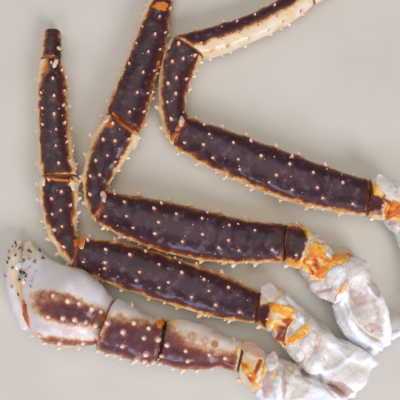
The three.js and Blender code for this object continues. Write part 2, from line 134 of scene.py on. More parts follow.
class Kind(Enum):
    """Kinds of segment, each with the depth of its shell as a share of its width."""

    SHOULDER = ("shoulder", 0.74)
    COXA = ("coxa", 0.8)
    BASIS = ("basis", 0.8)
    ISCHIUM = ("ischium", 0.84)
    MERUS = ("merus", 0.71)
    CARPUS = ("carpus", 0.82)
    PROPODUS = ("propodus", 0.8)
    DACTYL = ("dactyl", 0.95)
    PALM = ("palm", 0.64)
    FINGER = ("finger", 1.75)
    STRAP = ("strap", 0.8)

    @property
    def label(self) -> str:
        """Returns: The last word of the node's name."""
        return self.value[0]

    @property
    def depth(self) -> float:
        """Returns: Depth of the shell as a share of its width."""
        return self.value[1]


SHOULDER, COXA, BASIS, ISCHIUM, MERUS, CARPUS, PROPODUS, DACTYL, PALM, FINGER, STRAP = Kind


class Tone(Enum):
    """Tones of flesh and skin, by their places on one ramp."""

    BROWN = 0.0
    ROSE = 0.1
    RUST = 0.2
    ORANGE = 0.3
    AMBER = 0.4
    YELLOW = 0.5
    CREAM = 0.6
    PEACH = 0.7
    PINK = 0.78
    BEIGE = 0.86
    PALE = 0.93
    WHITE = 1.0


BROWN, ROSE, RUST, ORANGE, AMBER, YELLOW, CREAM, PEACH, PINK, BEIGE, PALE, WHITE = Tone

TONE_RAMP = tuple(zip(
    (tone.value for tone in Tone),
    ("34150f", "86463a", "b84a1a", "e27c1c", "f1a52e", "f3c562",
     "e6d0ac", "dcb89c", "bfa69c", "d6cbc0", "e6dcd0", "eff1f6"),
))


class Slot(Enum):
    """The record's material slots."""

    DARK = "dark_shell"
    PALE = "pale_shell"
    ORANGE = "orange_joint"
    SKIN = "shoulder_skin"


@dataclass(frozen=True)
class Row:
    """A row of spines: its angle around the shell, 0 left, 90 top and 180 right, the
    shares of the length where it starts and ends, its count, height and radius, and how
    far its angle turns on the way."""

    around: float
    start: float
    end: float
    count: int
    height: float
    radius: float
    flat: float = 1.0
    slant: float = 0.0


@dataclass(frozen=True)
class Patch:
    """The dark face of a shell: how far it stays, seen from above, from the left and
    right edges at even steps of the length, and from the near and far rims."""

    left: tuple[float, ...] = (2.6,)
    right: tuple[float, ...] = (2.2,)
    near: float = 0.8
    far: float = 0.8
    fade: float = 1.0


@dataclass(frozen=True)
class Oval:
    """An oval area in plan: its middle, its half sizes and its turn."""

    x: float
    y: float
    long: float
    wide: float
    turn: float

    def reach(self, points: np.ndarray) -> np.ndarray:
        """How far in from the oval's edge each point is.

        Args:
            points: Places in millimetres.

        Returns:
            Millimetres, positive inside and negative outside.
        """
        turn = math.radians(self.turn)
        dx, dy = points[..., 0] - self.x, points[..., 1] - self.y
        along = (dx * math.cos(turn) + dy * math.sin(turn)) / self.long
        across = (dy * math.cos(turn) - dx * math.sin(turn)) / self.wide
        return (1 - np.hypot(along, across)) * min(self.long, self.wide)


@dataclass(frozen=True)
class DarkSpot(Oval):
    """A dark area on a pale shell; a faint one counts as no more than most."""

    most: float = 16.0

    def reach(self, points: np.ndarray) -> np.ndarray:
        """Args: points. Returns: how far in each is, up to the most that counts."""
        return np.minimum(self.most, super().reach(points))


@dataclass(frozen=True)
class Blob(Oval):
    """An area of one tone: how far it stands up, as a dome, or with a negative rise lies
    lower, as a dish, and how much it covers what is below."""

    tone: Tone
    rise: float = 0.0
    cover: float = 1.0

    @property
    def firmness(self) -> float:
        """Returns: How much its edge wanders, less for a small one."""
        return min(1.0, min(self.long, self.wide) / FIRM_SIZE)

    def lift(self, reach: np.ndarray) -> np.ndarray:
        """How far the area raises a surface.

        Args:
            reach: How far inside its edge the points are.

        Returns:
            Millimetres for each point.
        """
        inside = 1 - reach / min(self.long, self.wide)
        if self.rise < 0:
            return self.rise * np.exp(-DISH_FALL * inside**4)
        return self.rise * np.clip(1 - np.maximum(inside, 0) ** 2, 0, 1) ** DOME_ROUND


@dataclass(frozen=True)
class Fold:
    """A ridge, or with a negative rise a crease, along a line in plan."""

    points: tuple[tuple[float, float], ...]
    width: float
    tone: Tone
    rise: float = 0.0
    cover: float = 1.0
    firmness: float = 0.25

    def reach(self, points: np.ndarray) -> np.ndarray:
        """How far in from the edge of the fold each point is.

        Args:
            points: Places in millimetres.

        Returns:
            Millimetres, positive inside and negative outside.
        """
        nearest = np.full(points.shape[:-1], np.inf)
        for start, end in zip(self.points[:-1], self.points[1:]):
            a, span = np.array(start), np.array(end) - np.array(start)
            share = np.clip(((points[..., :2] - a) @ span) / (span @ span), 0, 1)
            gap = points[..., :2] - a - share[..., None] * span
            nearest = np.minimum(nearest, np.hypot(gap[..., 0], gap[..., 1]))
        return self.width - nearest

    def lift(self, reach: np.ndarray) -> np.ndarray:
        """Args: how far in the points are. Returns: how far the fold raises each."""
        return self.rise * np.exp(-((1 - reach / self.width) ** 2))


Mark = Blob | Fold


def ring(x: float, y: float, radius: float) -> Fold:
    """A faint dark ring.

    Args:
        x, y: Its middle in plan.
        radius: Its radius.

    Returns:
        The ring as a fold.
    """
    turns = [2 * math.pi * k / RING_SIDES for k in range(RING_SIDES + 1)]
    points = tuple((x + radius * math.cos(t), y + radius * math.sin(t)) for t in turns)
    return Fold(points, RING_WIDTH, BROWN)


def colour_of(code: str) -> tuple[float, float, float, float]:
    """A colour from its six hexadecimal digits.

    Args:
        code: The display colour, such as "ff8800".

    Returns:
        The linear colour with full opacity.
    """
    parts = [int(code[i : i + 2], 16) / 255 for i in (0, 2, 4)]
    red, green, blue = (c / 12.92 if c <= 0.04045 else ((c + 0.055) / 1.055) ** 2.4 for c in parts)
    return red, green, blue, 1.0


def wobble(count: float) -> float:
    """Args: count, any number. Returns: a repeatable number from -1 to 1 for it."""
    spread = math.sin(count * 12.9898 + 4.1) * 43758.5453
    return 2 * (spread - math.floor(spread)) - 1


def size_along(sizes: tuple[float, ...], share: np.ndarray) -> np.ndarray:
    """Smooth value of sizes given at even steps.

    Args:
        sizes: The sizes from the near to the far end.
        share: Shares of the way, from 0 to 1.

    Returns:
        The size at each share.
    """
    values = np.asarray(sizes, float)
    last = len(values) - 1
    place = np.asarray(share, float) * last
    whole = np.minimum(np.floor(place).astype(int), last)
    part = place - whole
    before, here, after, later = (values[np.clip(whole + k, 0, last)] for k in (-1, 0, 1, 2))
    slope, next_slope = (after - before) / 2, (later - here) / 2
    cubic = 2 * here - 2 * after + slope + next_slope
    square = 3 * after - 3 * here - 2 * slope - next_slope
    return cubic * part**3 + square * part**2 + slope * part + here


def ripple(points: np.ndarray, size: float, seed: int, waves: int = 14) -> np.ndarray:
    """Smooth random waves through space.

    Args:
        points: Places in millimetres.
        size: The length of a typical wave.
        seed: The number that fixes the waves.
        waves: How many are summed.

    Returns:
        About -1 to 1 at each point.
    """
    rng = np.random.default_rng(seed)
    total = np.zeros(points.shape[:-1])
    for _ in range(waves):
        way = rng.normal(size=3)
        way *= rng.uniform(0.7, 1.4) * 2 * math.pi / size / np.linalg.norm(way)
        total += np.sin(points @ way + rng.uniform(0, 2 * math.pi))
    return total / math.sqrt(waves)


def swell(points: np.ndarray, waves: Iterable[tuple[float, float]], seed: int) -> np.ndarray:
    """Ripples of several sizes together.

    Args:
        points: Places in millimetres.
        waves: The length and the depth of each.
        seed: The number that fixes the first; the others follow on.

    Returns:
        Millimetres for each point.
    """
    return sum(ripple(points, size, seed + k) * depth for k, (size, depth) in enumerate(waves))


def rounded(value: np.ndarray) -> np.ndarray:
    """Args: value, a sine or cosine. Returns: it for the squarer round of a shell."""
    return np.sign(value) * np.abs(value) ** (2 / FULLNESS)


@dataclass(frozen=True)
class Joint:
    """The plane where two segments meet: its place, facing and height."""

    x: float
    y: float
    facing: float
    height: float


def joint_at(x: float, y: float, facing: float, height: float) -> Joint:
    """Args: as for a joint, its place in the plan of the tables. Returns: the joint."""
    return Joint(x - PLAN_CENTRE[0], y - PLAN_CENTRE[1], facing, height)


@dataclass
class Segment:
    """One segment of a limb: its sizes, its spines and the finish of its shell."""

    kind: Kind
    length: float
    along: float
    bend: tuple[float, float]
    facing: float
    height: float
    half_widths: tuple[float, ...]
    slot: Slot = Slot.DARK
    patch: Patch | None = None
    rows: tuple[Row, ...] = ()
    roll: float = 0.0
    granules: int = 0
    name: str = ""
    seed: int = 0
    near_seed: int = 0
    waves: tuple[float, float] = (0.0, 0.0)
    near: Joint = field(default_factory=lambda: Joint(0, 0, 0, 0))
    near_clear: float = JOINT_CLEAR
    far_clear: float = JOINT_CLEAR
    lip_drop: float = LIP_DROP

    @property
    def far(self) -> Joint:
        """Returns: The joint at the outer end."""
        along = math.radians(self.along)
        x = self.near.x + self.length * math.cos(along)
        y = self.near.y + self.length * math.sin(along)
        return Joint(x, y, self.facing, self.height)

    @property
    def headings(self) -> tuple[float, float]:
        """Returns: Directions of the axis at its two ends, in radians."""
        near, far = (math.radians(self.along + angle) for angle in self.bend)
        return near, far

    def axis(self, share: np.ndarray) -> tuple[np.ndarray, np.ndarray]:
        """The bent line through the segment.

        Args:
            share: Shares of the length.

        Returns:
            The places in plan, and the directions there.
        """
        reach = self.length / 3
        near, far = self.near, self.far
        start, end = self.headings
        a = np.array([near.x, near.y])
        b = a + reach * np.array([math.cos(start), math.sin(start)])
        d = np.array([far.x, far.y])
        c = d - reach * np.array([math.cos(end), math.sin(end)])
        t = np.asarray(share, float)[..., None]
        place = (1 - t) ** 3 * a + 3 * t * (1 - t) ** 2 * b + 3 * t * t * (1 - t) * c + t**3 * d
        way = (1 - t) ** 2 * (b - a) + 2 * t * (1 - t) * (c - b) + t * t * (d - c)
        return place, way

    def heading(self, share: np.ndarray, way: np.ndarray) -> np.ndarray:
        """Heading of the plane of the cross-section.

        Args:
            share: Shares of the length.
            way: Directions of the axis there.

        Returns:
            The headings in radians.
        """
        near_face, far_face = math.radians(self.near.facing), math.radians(self.facing)
        if self.length < STUB_LENGTH:
            return near_face + (far_face - near_face) * share
        start, end = self.headings
        near_turn = (near_face - start) * (1 - share) ** TURN_SHARPNESS
        far_turn = (far_face - end) * share**TURN_SHARPNESS
        return np.arctan2(way[..., 1], way[..., 0]) + near_turn + far_turn

    def half_width(self, share: np.ndarray, around: np.ndarray) -> np.ndarray:
        """Half the width of the shell, with its rolled rims and folds.

        Args:
            share: Shares of the length.
            around: Angles around the shell.

        Returns:
            The half widths in millimetres.
        """
        to_end = np.minimum(share, 1 - share) * self.length
        lip = np.maximum(0, 1 - to_end / LIP_LENGTH)
        size = 1 - self.lip_drop * lip * lip
        if self.kind is SHOULDER:
            size = size * (1 + FOLD_DEPTH * np.cos(FOLD_COUNT * around + FOLD_TWIST * share))
        return size_along(self.half_widths, share) * size

    def point(self, share: Any, around: Any, shrink: Any = 1.0) -> np.ndarray:
        """Points of the shell.

        Args:
            share: Shares of the length.
            around: Angles around the shell in radians.
            shrink: How far the points are drawn in to the middle of the shell.

        Returns:
            The points in millimetres.
        """
        share, around = np.broadcast_arrays(np.asarray(share, float), np.asarray(around, float))
        place, way = self.axis(share)
        heading = self.heading(share, way)
        half_width = self.half_width(share, around)
        half_depth = half_width * self.kind.depth
        side = rounded(np.cos(around)) * half_width * shrink
        laid = self.near.height + (self.height - self.near.height) * share
        middle = np.maximum(laid, half_depth - FLOOR_FLAT)
        x = place[..., 0] - np.sin(heading) * side
        y = place[..., 1] + np.cos(heading) * side
        z = np.maximum(0, middle + rounded(np.sin(around)) * half_depth * shrink)
        return np.stack([x, y, z], -1)

    def basis(self, share: float, around: float) -> tuple[np.ndarray, np.ndarray, np.ndarray]:
        """The foot of something that stands on the shell.

        Args:
            share: Share of the length.
            around: Angle around the shell in radians.

        Returns:
            The foot, the outward direction and the onward one.
        """
        step = 0.01
        foot = self.point(share, around)
        onward = self.point(share + step, around) - foot
        sideways = self.point(share, around + step) - foot
        outward = np.cross(sideways, onward)
        return foot, outward / np.linalg.norm(outward), onward / np.linalg.norm(onward)


@dataclass(frozen=True)
class Spine:
    """A spine: its foot, its direction, the way it bends, and its sizes."""

    foot: np.ndarray
    aim: np.ndarray
    onward: np.ndarray
    height: float
    radius: float
    flat: float = 1.0
    shade: float = 1.0
    root: tuple[float, float, float] = (0.0, 0.0, 0.0)


def spines_of(segment: Segment, solid: BVHTree) -> list[Spine]:
    """The spines of a segment's rows, where the solid has them too.

    Args:
        segment: The segment.
        solid: The surface of its CAD node.

    Returns:
        The spines.
    """
    found = []
    for row_index, row in enumerate(segment.rows):
        steps = max(1, row.count - 1)
        pitch = (row.end - row.start) / steps
        for i in range(row.count):
            seed = segment.seed + row_index * ROW_STEP + i * SPINE_STEP
            share = row.start + pitch * (i + SPINE_JITTER * wobble(seed))
            around = row.around + segment.roll + row.slant * i / steps
            around += ROW_WANDER * wobble(seed + 1)
            size = 1 + SPINE_JITTER * wobble(seed + 2)
            share = min(max(share, RIM_SHARE), 1 - RIM_SHARE)
            foot, outward, onward = segment.basis(share, math.radians(around))
            aim = outward + SPINE_LEAN * onward
            aim /= np.linalg.norm(aim)
            height = row.height * size
            tip = foot + aim * height
            foot = foot + np.array([0, 0, max(0, FLOOR_CLEARANCE - tip[2])])
            near = solid.find_nearest(Vector((foot + aim * height) * MM))[3]
            if near is not None and near < SOLID_REACH * height * MM:
                low = math.sin(math.radians(around)) < EDGE_SINE
                upper = KNOB_SPINE if segment.slot is Slot.PALE else FACE_SPINE
                tall, wide = EDGE_SPINE if low else upper
                shade = EDGE_SHADE if low else 1.0
                radius = row.radius * size * wide
                found.append(Spine(foot, aim, onward, height * tall, radius, row.flat, shade))
    return found


def granules_of(segment: Segment) -> list[Spine]:
    """The fine granules of a shell, on its upper face and along its edges.

    Args:
        segment: The segment.

    Returns:
        The granules, as small spines.
    """
    found = []
    rng = np.random.default_rng(segment.seed + GRAIN_SEED)
    for _ in range(segment.granules // 2):
        share, around = rng.uniform(*FACE_SHARES), rng.uniform(*FACE_ARC)
        foot, outward, onward = segment.basis(share, math.radians(around))
        size = rng.uniform(*FACE_GRAINS)
        found.append(Spine(foot, outward, onward, GRAIN_HEIGHT * size, GRAIN_RADIUS * size))
    for _ in range(segment.granules):
        share = rng.uniform(*EDGE_SHARES)
        around = math.radians(rng.choice([0, 180]) + rng.uniform(*EDGE_ARC))
        foot, outward, onward = segment.basis(share, around)
        if foot[2] > LOWEST_GRAIN:
            size = rng.uniform(*EDGE_GRAINS)
            aim = outward + SPINE_LEAN * onward
            aim /= np.linalg.norm(aim)
            found.append(Spine(foot, aim, onward, size, EDGE_GRAIN_RADIUS * size, shade=0.0))
    return found


MERUS_ROWS = (
    Row(2, 0.12, 0.98, 7, 4.6, 2.3),
    Row(70, 0.07, 0.96, 7, 3, 2.1),
    Row(90, 0.28, 0.84, 4, 2.8, 2),
    Row(119, 0.16, 0.86, 6, 3, 2.1),
    Row(147, 0.42, 0.94, 3, 3, 2),
    Row(175, 0.23, 0.97, 6, 4.4, 2.2),
)
CARPUS_ROWS = (
    Row(10, 0.14, 0.92, 5, 4.8, 2.4),
    Row(75, 0.18, 0.93, 5, 3.4, 2.2),
    Row(98, 0.4, 0.8, 3, 3.2, 2.1),
    Row(130, 0.63, 0.9, 2, 3.4, 2.2),
    Row(172, 0.52, 0.94, 3, 4.4, 2.2),
)
PROPODUS_ROWS = (
    Row(12, 0.13, 0.83, 4, 3.6, 2),
    Row(58, 0.43, 0.71, 3, 2.6, 1.8),
    Row(102, 0.09, 0.96, 7, 2.9, 1.9),
    Row(142, 0.12, 0.88, 6, 2.9, 1.9),
    Row(184, 0.08, 0.74, 5, 3.6, 2),
)
ISCHIUM_ROWS = (
    Row(10, 0.7, 0.7, 1, 5, 2.3),
    Row(70, 0.4, 0.4, 1, 3.4, 2.1),
    Row(168, 0.55, 0.55, 1, 6, 4.4, 0.5),
)
CLAW_MERUS_ROWS = (
    Row(6, 0.5, 0.95, 4, 4.6, 2.4),
    Row(57, 0.59, 0.95, 2, 3.4, 2.2),
    Row(82, 0.17, 0.92, 4, 3.2, 2.1),
)
CLAW_CARPUS_ROWS = (
    Row(4, 0.16, 0.9, 5, 4.8, 2.5),
    Row(34, 0.05, 0.3, 3, 3.8, 2.3),
    Row(63, 0.24, 0.95, 3, 3.6, 2.3),
    Row(91, 0.05, 0.92, 4, 3.6, 2.3),
    Row(118, 0.26, 0.59, 2, 3.4, 2.2),
)
PALM_ROWS = (
    Row(7, 0.12, 0.4, 4, 4.6, 2.5),
    Row(40, 0.1, 0.34, 3, 3.8, 2.4, slant=-6),
    Row(87, 0.06, 0.37, 5, 3, 2.2, slant=-12),
    Row(110, 0.05, 0.42, 5, 3, 2.3, slant=-17),
)
DACTYL_ROWS = (
    Row(40, 0.1, 0.5, 3, 2, 1.3),
    Row(140, 0.16, 0.56, 3, 2, 1.3),
)


FLESHY = (SHOULDER, COXA, BASIS)  # the segments under the skin of the shoulder

# How far the rims at a segment's far joint wander
JOINT_WAVES = {BASIS: 1.6, ISCHIUM: 1.3, MERUS: 1.2, CARPUS: 1.1, PROPODUS: 0.9}


@dataclass
class Limb:
    """A limb from its inner end in the shoulder out to its tip."""

    name: str
    start: tuple[float, float]
    facing: float
    height: float
    segments: tuple[Segment, ...]
    order: int = 0

    def __post_init__(self) -> None:
        """Joins the segments end to end."""
        near = joint_at(*self.start, self.facing, self.height)
        near_wave = 0.0
        for index, segment in enumerate(self.segments):
            last = segment is self.segments[-1]
            far_wave = 0.0 if last else JOINT_WAVES.get(segment.kind, 0.0)
            segment.near, segment.waves = near, (near_wave, far_wave)
            segment.name = segment.name or f"{self.name}_{segment.kind.label}"
            segment.seed = self.order * LIMB_SEED + index * SEGMENT_SEED
            segment.near_seed = segment.seed - SEGMENT_SEED
            near, near_wave = segment.far, far_wave
        self.segments[0].near_clear = 0
        self.segments[-1].far_clear = 0


# The dark faces of each limb's shells
MERUS_PATCH = Patch((2.6, 2.6, 2.4, 2.4, 2.4, 2.6), (2, 2, 2, 2, 2, 2.4))
PATCHES = {
    "leg1": {
        ISCHIUM: Patch((3,), (12,), 7, 0.3),
        MERUS: MERUS_PATCH,
        CARPUS: Patch((6, 5.5, 5, 4.5, 4.5, 6.5), (1.5, 2, 2.5, 2.5, 3, 3.5)),
        PROPODUS: Patch((5, 4.5, 3.6, 3.6, 5, 9), (4, 3, 1.5, 1.5, 1.4, 1.6), 2, 1),
        DACTYL: Patch((3.6,), (1,), 1, -1),
    },
    "leg2": {
        ISCHIUM: Patch((4,), (3.5,), 1.5, 0.2),
        MERUS: MERUS_PATCH,
        CARPUS: Patch((4, 4, 4.5, 5.5, 7.5, 10), (2, 2, 2, 3, 3.5, 5.5), 1.5, 1.5),
        PROPODUS: Patch((4.5, 4, 4, 4.5, 5.5, 6), (1.4,), 1, 5),
        DACTYL: Patch((1.5,), (1.5,), 3, 10),
    },
    "leg3": {
        ISCHIUM: Patch((4,), (12,), 7, 0.6),
        MERUS: MERUS_PATCH,
        CARPUS: Patch((4, 4, 4, 4, 4, 5), (2, 1.5, 1.5, 1.5, 2, 3)),
        PROPODUS: Patch((3, 3, 2, 2, 2, 2), (12, 12, 11, 11, 11, 10), 3, 5),
        DACTYL: Patch((1.5,), (6,), 3, 10),
    },
    "claw": {
        MERUS: Patch((1,), (10, 13, 17, 17, 13, 3), 3, 1, 2.2),
        CARPUS: Patch((1,), (3, 5, 8, 12, 17), 1, 4, 1.6),
    },
}

# What the segments of one kind share, and what some have of their own
TRAITS: dict[Kind, dict[str, Any]] = {
    SHOULDER: {"slot": Slot.SKIN, "lip_drop": SKIN_LIP_DROP},
    COXA: {"slot": Slot.SKIN, "lip_drop": SKIN_LIP_DROP},
    BASIS: {"slot": Slot.ORANGE, "lip_drop": SKIN_LIP_DROP},
    ISCHIUM: {"rows": ISCHIUM_ROWS, "near_clear": 0.3, "lip_drop": SKIN_LIP_DROP},
    MERUS: {"rows": MERUS_ROWS, "granules": 34},
    CARPUS: {"rows": CARPUS_ROWS, "granules": 14},
    PROPODUS: {"rows": PROPODUS_ROWS, "granules": 20},
    DACTYL: {"rows": DACTYL_ROWS},
    PALM: {"slot": Slot.PALE, "rows": PALM_ROWS, "near_clear": 0.5},
}
OWN_TRAITS: dict[tuple[str, Kind], dict[str, Any]] = {
    ("claw", MERUS): {"slot": Slot.PALE, "rows": CLAW_MERUS_ROWS, "far_clear": 2.2, "granules": 8},
    ("claw", CARPUS): {"slot": Slot.PALE, "rows": CLAW_CARPUS_ROWS, "near_clear": 1.0, "granules": 8},
    ("leg1", DACTYL): {"rows": ()},
    ("leg3", MERUS): {"roll": -11},
}

# Each limb's name, the place, facing and height of its inner end, and its segments: kind,
# length, direction, bends at both ends, facing and height of the far joint, half widths
LIMB_TABLES = (
    ("leg1", (127.1, -140.6), 150, 12, (
        (SHOULDER, 52.4, 148.3, (1, -16), 152, 14, (18, 20.4, 19.7, 17.6, 20.2, 18.6)),
        (COXA, 21.1, 133.5, (0, 0), 152, 14, (18.8, 18.4, 17.6, 16.6)),
        (BASIS, 11.5, 132.2, (0, 0), 162, 13.4, (16.6, 17.2, 17.6)),
        (ISCHIUM, 15.5, 169.9, (0, 0), 172, 11.6, (17.6, 16.2, 14, 12.6)),
        (MERUS, 148.3, 163.4, (2, 4), 166, 11.4, (12.8, 16.8, 17.6, 17.8, 17, 13.2)),
        (CARPUS, 63.4, 104.9, (41, -11), 93, 11.4, (12, 10, 12, 13.7, 15.1, 15.2)),
        (PROPODUS, 99.3, 96, (7, 1), 93, 8.2, (14.6, 13.7, 12.6, 12.2, 11.9, 9.4)),
        (DACTYL, 25.4, 88.3, (0, 0), 90, 7.2, (8.6, 8, 7.4, 7)),
    )),
    ("leg2", (141.8, -117.8), 122, 12, (
        (SHOULDER, 55.6, 115.3, (14, -5), 140, 14, (9, 14, 19, 20.6, 19.8, 21.2)),
        (COXA, 26.2, 149.4, (0, 0), 146, 14, (21.2, 20, 17.4, 15.4)),
        (BASIS, 18.2, 134.5, (0, 0), 162, 13.4, (15.4, 16.6, 16.8)),
        (ISCHIUM, 17.1, 161.1, (0, 0), 176, 12.2, (16.8, 16.4, 16, 15.4)),
        (MERUS, 147.4, 169.1, (13, -7), 166, 12, (15.4, 17.2, 19.6, 20, 18, 13.8)),
        (CARPUS, 70.1, 77.3, (53, -12), 62, 11.8, (13.6, 10, 12, 14.7, 16.7, 16.5)),
        (PROPODUS, 115.8, 74.1, (-2, 3), 74, 8.6, (16.6, 16, 14.4, 13.4, 12.2, 9.8)),
        (DACTYL, 78, 66, (8, -14), 52, 2.6, (9.4, 8, 6.8, 5.4, 3.6, 1)),
    )),
    ("leg3", (180, -113.2), 92, 12, (
        (SHOULDER, 81.9, 91, (0, 12), 125, 14, (11, 14.6, 16.4, 17, 17.4, 20.4)),
        (COXA, 23.8, 137.9, (0, 0), 155, 14, (21, 19.6, 17.4, 16)),
        (BASIS, 16.5, 128.8, (0, 0), 165, 13.4, (16, 16.6, 16.6)),
        (ISCHIUM, 16.5, 170.2, (0, 0), 176, 11.8, (16.6, 16.4, 15.8, 15.2)),
        (MERUS, 159.1, 160.5, (11, -4), 153, 11.6, (15.2, 17, 18.6, 18.3, 17.2, 14.4)),
        (CARPUS, 71.7, 86, (35, -25), 57, 11.4, (13.6, 11, 11.6, 13, 14.8, 15.6)),
        (PROPODUS, 112.5, 24.8, (-12, 13), 27, 8.2, (15.2, 12.6, 11.4, 10.8, 10.6, 9.4)),
        (DACTYL, 76, 17, (8, -14), 3, 2.6, (9, 7.8, 6.6, 5.2, 3.5, 1)),
    )),
    ("claw", (106, -171.9), 145, 12.6, (
        (SHOULDER, 47.1, 149.2, (6, -8), 145, 14.6, (17, 21, 22, 21.4, 20, 19.6)),
        (COXA, 22.2, 149.5, (0, 0), 160, 14.4, (19.6, 18.8, 17.4, 16.4)),
        (ISCHIUM, 19, 141.9, (0, 0), 166, 13, (16.4, 15.6, 13.6, 12)),
        (MERUS, 62.7, 167.7, (-5, 2), 172, 13.4, (12, 12, 15.6, 17.8, 18.6, 16.8)),
        (CARPUS, 45.9, 162.5, (27, -4), 158, 15, (17.6, 17.6, 18.2, 19.2, 20.8, 20.6)),
        (PALM, 90.1, 135.7, (34, -45), 112, 9, (19.6, 27.8, 30.4, 22, 13, 3.4)),
    )),
)


def build_limbs() -> list[Limb]:
    """Returns: The four limbs of the section, in the order of the solids."""
    limbs = []
    for order, (name, start, facing, height, lines) in enumerate(LIMB_TABLES):
        segments = tuple(
            Segment(*line, patch=PATCHES[name].get(line[0]),
                    **{**TRAITS[line[0]], **OWN_TRAITS.get((name, line[0]), {})})
            for line in lines
        )
        limbs.append(Limb(name, start, facing, height, segments, order))
    return limbs


def build_finger() -> Segment:
    """Returns: The claw's movable finger, hinged at the lower corner of the palm."""
    start = joint_at(-132.4, -103, 122, 15)
    return Segment(
        FINGER, 71.9, 98.8, (19, -30), 78, 9.4, (5.4, 6.6, 7, 6.6, 5.2, 1.6),
        Slot.PALE, name="claw_finger", near=start, near_clear=0, far_clear=0, lip_drop=0.5,
    )


def build_strap() -> Segment:
    """Returns: The strap of skin between the second and the third leg's shoulders."""
    start = joint_at(172, -100, 200, 10)
    return Segment(
        STRAP, 25, 202, (0, 0), 205, 9.4, (6, 4.2, 2.6, 2.6, 4.6),
        Slot.SKIN, name="strap", near=start, near_clear=0, far_clear=0,
    )


# Markings in the row frame, from the last shell of each limb to the shoulder
LEG2_HIP_MARKS = (
    Blob(68, -94, 20.3, 10.9, -55, BEIGE, 0, 0.9), Blob(63.5, -98.5, 6.2, 3.9, -60, CREAM, 0, 0.6),
    Blob(68.5, -80, 14, 11.7, -40, PEACH, 0, 0.9), Blob(64.5, -59, 9.4, 3.1, -63, CREAM, 0.3, 0.85),
    Blob(60.5, -58, 7.8, 1.9, -63, AMBER, 0.2, 0.6), Blob(49, -49, 7, 1.4, -5, ORANGE, 0, 0.6),
    Blob(50, -81.5, 11.7, 2.5, -28, AMBER, 0.3, 0.6), Blob(54.5, -80, 7, 2, -30, RUST, 0, 0.5),
    Blob(46, -83, 3.1, 1.2, -30, CREAM, 0.5, 0.8), Blob(55.5, -85.5, 3.1, 1.2, -40, CREAM, 0.5, 0.8),
    Blob(62.5, -80, 6.2, 4.7, -30, RUST, 0.2, 0.8), Blob(67, -88.5, 7.8, 4.7, -80, ROSE, 0, 0.9),
    Blob(64.5, -93, 3.1, 3.1, 0, PINK, 0.2, 0.7), Blob(68.5, -80.5, 3.9, 1.6, -45, BROWN, -0.9, 0.7),
    Blob(61.5, -80, 2.2, 1.6, 0, CREAM, 0.9, 0.9), Blob(64.5, -84.5, 2, 1.2, -40, CREAM, 0.7, 0.8),
    Blob(68.5, -71.5, 7.8, 5.9, -20, AMBER, 0.9), Blob(73.5, -69, 4.3, 2.8, -30, YELLOW, 0.7, 0.9),
    Blob(63, -74.5, 3.9, 2.7, -60, ORANGE, 0.5, 0.9), Blob(74.5, -64.5, 4.7, 2.3, -40, PEACH, 0.8),
    Blob(71, -77.5, 5.5, 1.4, -20, RUST, -0.3, 0.7), Blob(79.5, -83, 15.6, 6.6, 38, AMBER, 0.7),
    Blob(72, -88.5, 6.2, 3.9, 62, ORANGE, 0.5, 0.9), Blob(88, -77.5, 7, 3.9, -25, AMBER, 0.6, 0.9),
    Blob(79.5, -77, 4.7, 2.3, 20, ORANGE, 0.4, 0.8), Blob(80.5, -90, 9.4, 5.5, 55, WHITE, 1.8),
    Blob(77.5, -94.5, 5.5, 3.5, 50, PALE, 0.5, 0.8), Blob(91, -86, 1.9, 5.5, 0, AMBER, 0.4, 0.8),
    Blob(86, -99, 5.5, 1.9, 55, AMBER, 0.4, 0.8), Blob(66, -95.5, 5.5, 3.9, 0, CREAM, 0.2, 0.6),
    Blob(67.5, -98.5, 7, 4.7, 15, BEIGE, 1.2), Blob(68.5, -107, 7.4, 4.7, -25, PALE, 1.3),
    Blob(72.5, -102, 5.5, 1.1, 10, CREAM, -0.4, 0.6),
    Fold(((88, -100.5), (83.5, -102), (80.5, -105.5), (80, -109)), 0.6, RUST, -0.9, 0.7),
    Fold(((81.5, -110), (84, -117.5), (88, -126)), 1.8, AMBER, 0.9, 0.7),
    Blob(98.5, -87.5, 11.7, 10.1, -50, PALE, 0.3, 0.9), Blob(110.5, -98.5, 8.6, 4.3, -58, PINK, -0.8),
)
LEG2_BOWL_MARKS = (
    # The pink stripe on the dish's east wall is painted shade, on the side turned from the window light
    Blob(104, -119, 25.7, 10.9, -68, BEIGE, -3.4, 0.95), Blob(114, -118, 3.9, 10.9, 15, PINK, -0.4, 0.4),
    Blob(98, -107, 7.8, 4.7, -40, CREAM, 0, 0.35), Blob(112.5, -130.5, 5.5, 2.3, -20, CREAM, 0, 0.5),
    Blob(105, -129.5, 0.9, 0.9, 0, PINK, -1.1, 0.8), Blob(110.5, -132.5, 1.1, 1.6, 0, PINK, -1, 0.8),
    Fold(((81, -111.5), (85.5, -122), (93.5, -133.5), (105.5, -141.5), (114.5, -145.5)),
         3.4, WHITE, 1.6, 0.9),
    Fold(((124, -135.5), (123.5, -120.5), (119.5, -105.5), (111.5, -90.5)), 2.2, WHITE, 1.1, 0.8),
    Fold(((87, -111.5), (90.5, -120.5), (98, -129.5), (107, -136.5), (114.5, -139.5)),
         0.9, BEIGE, -0.9, 0.6),
    Blob(107.5, -147, 2, 1.7, 0, PINK, -1.6, 0.8),
)
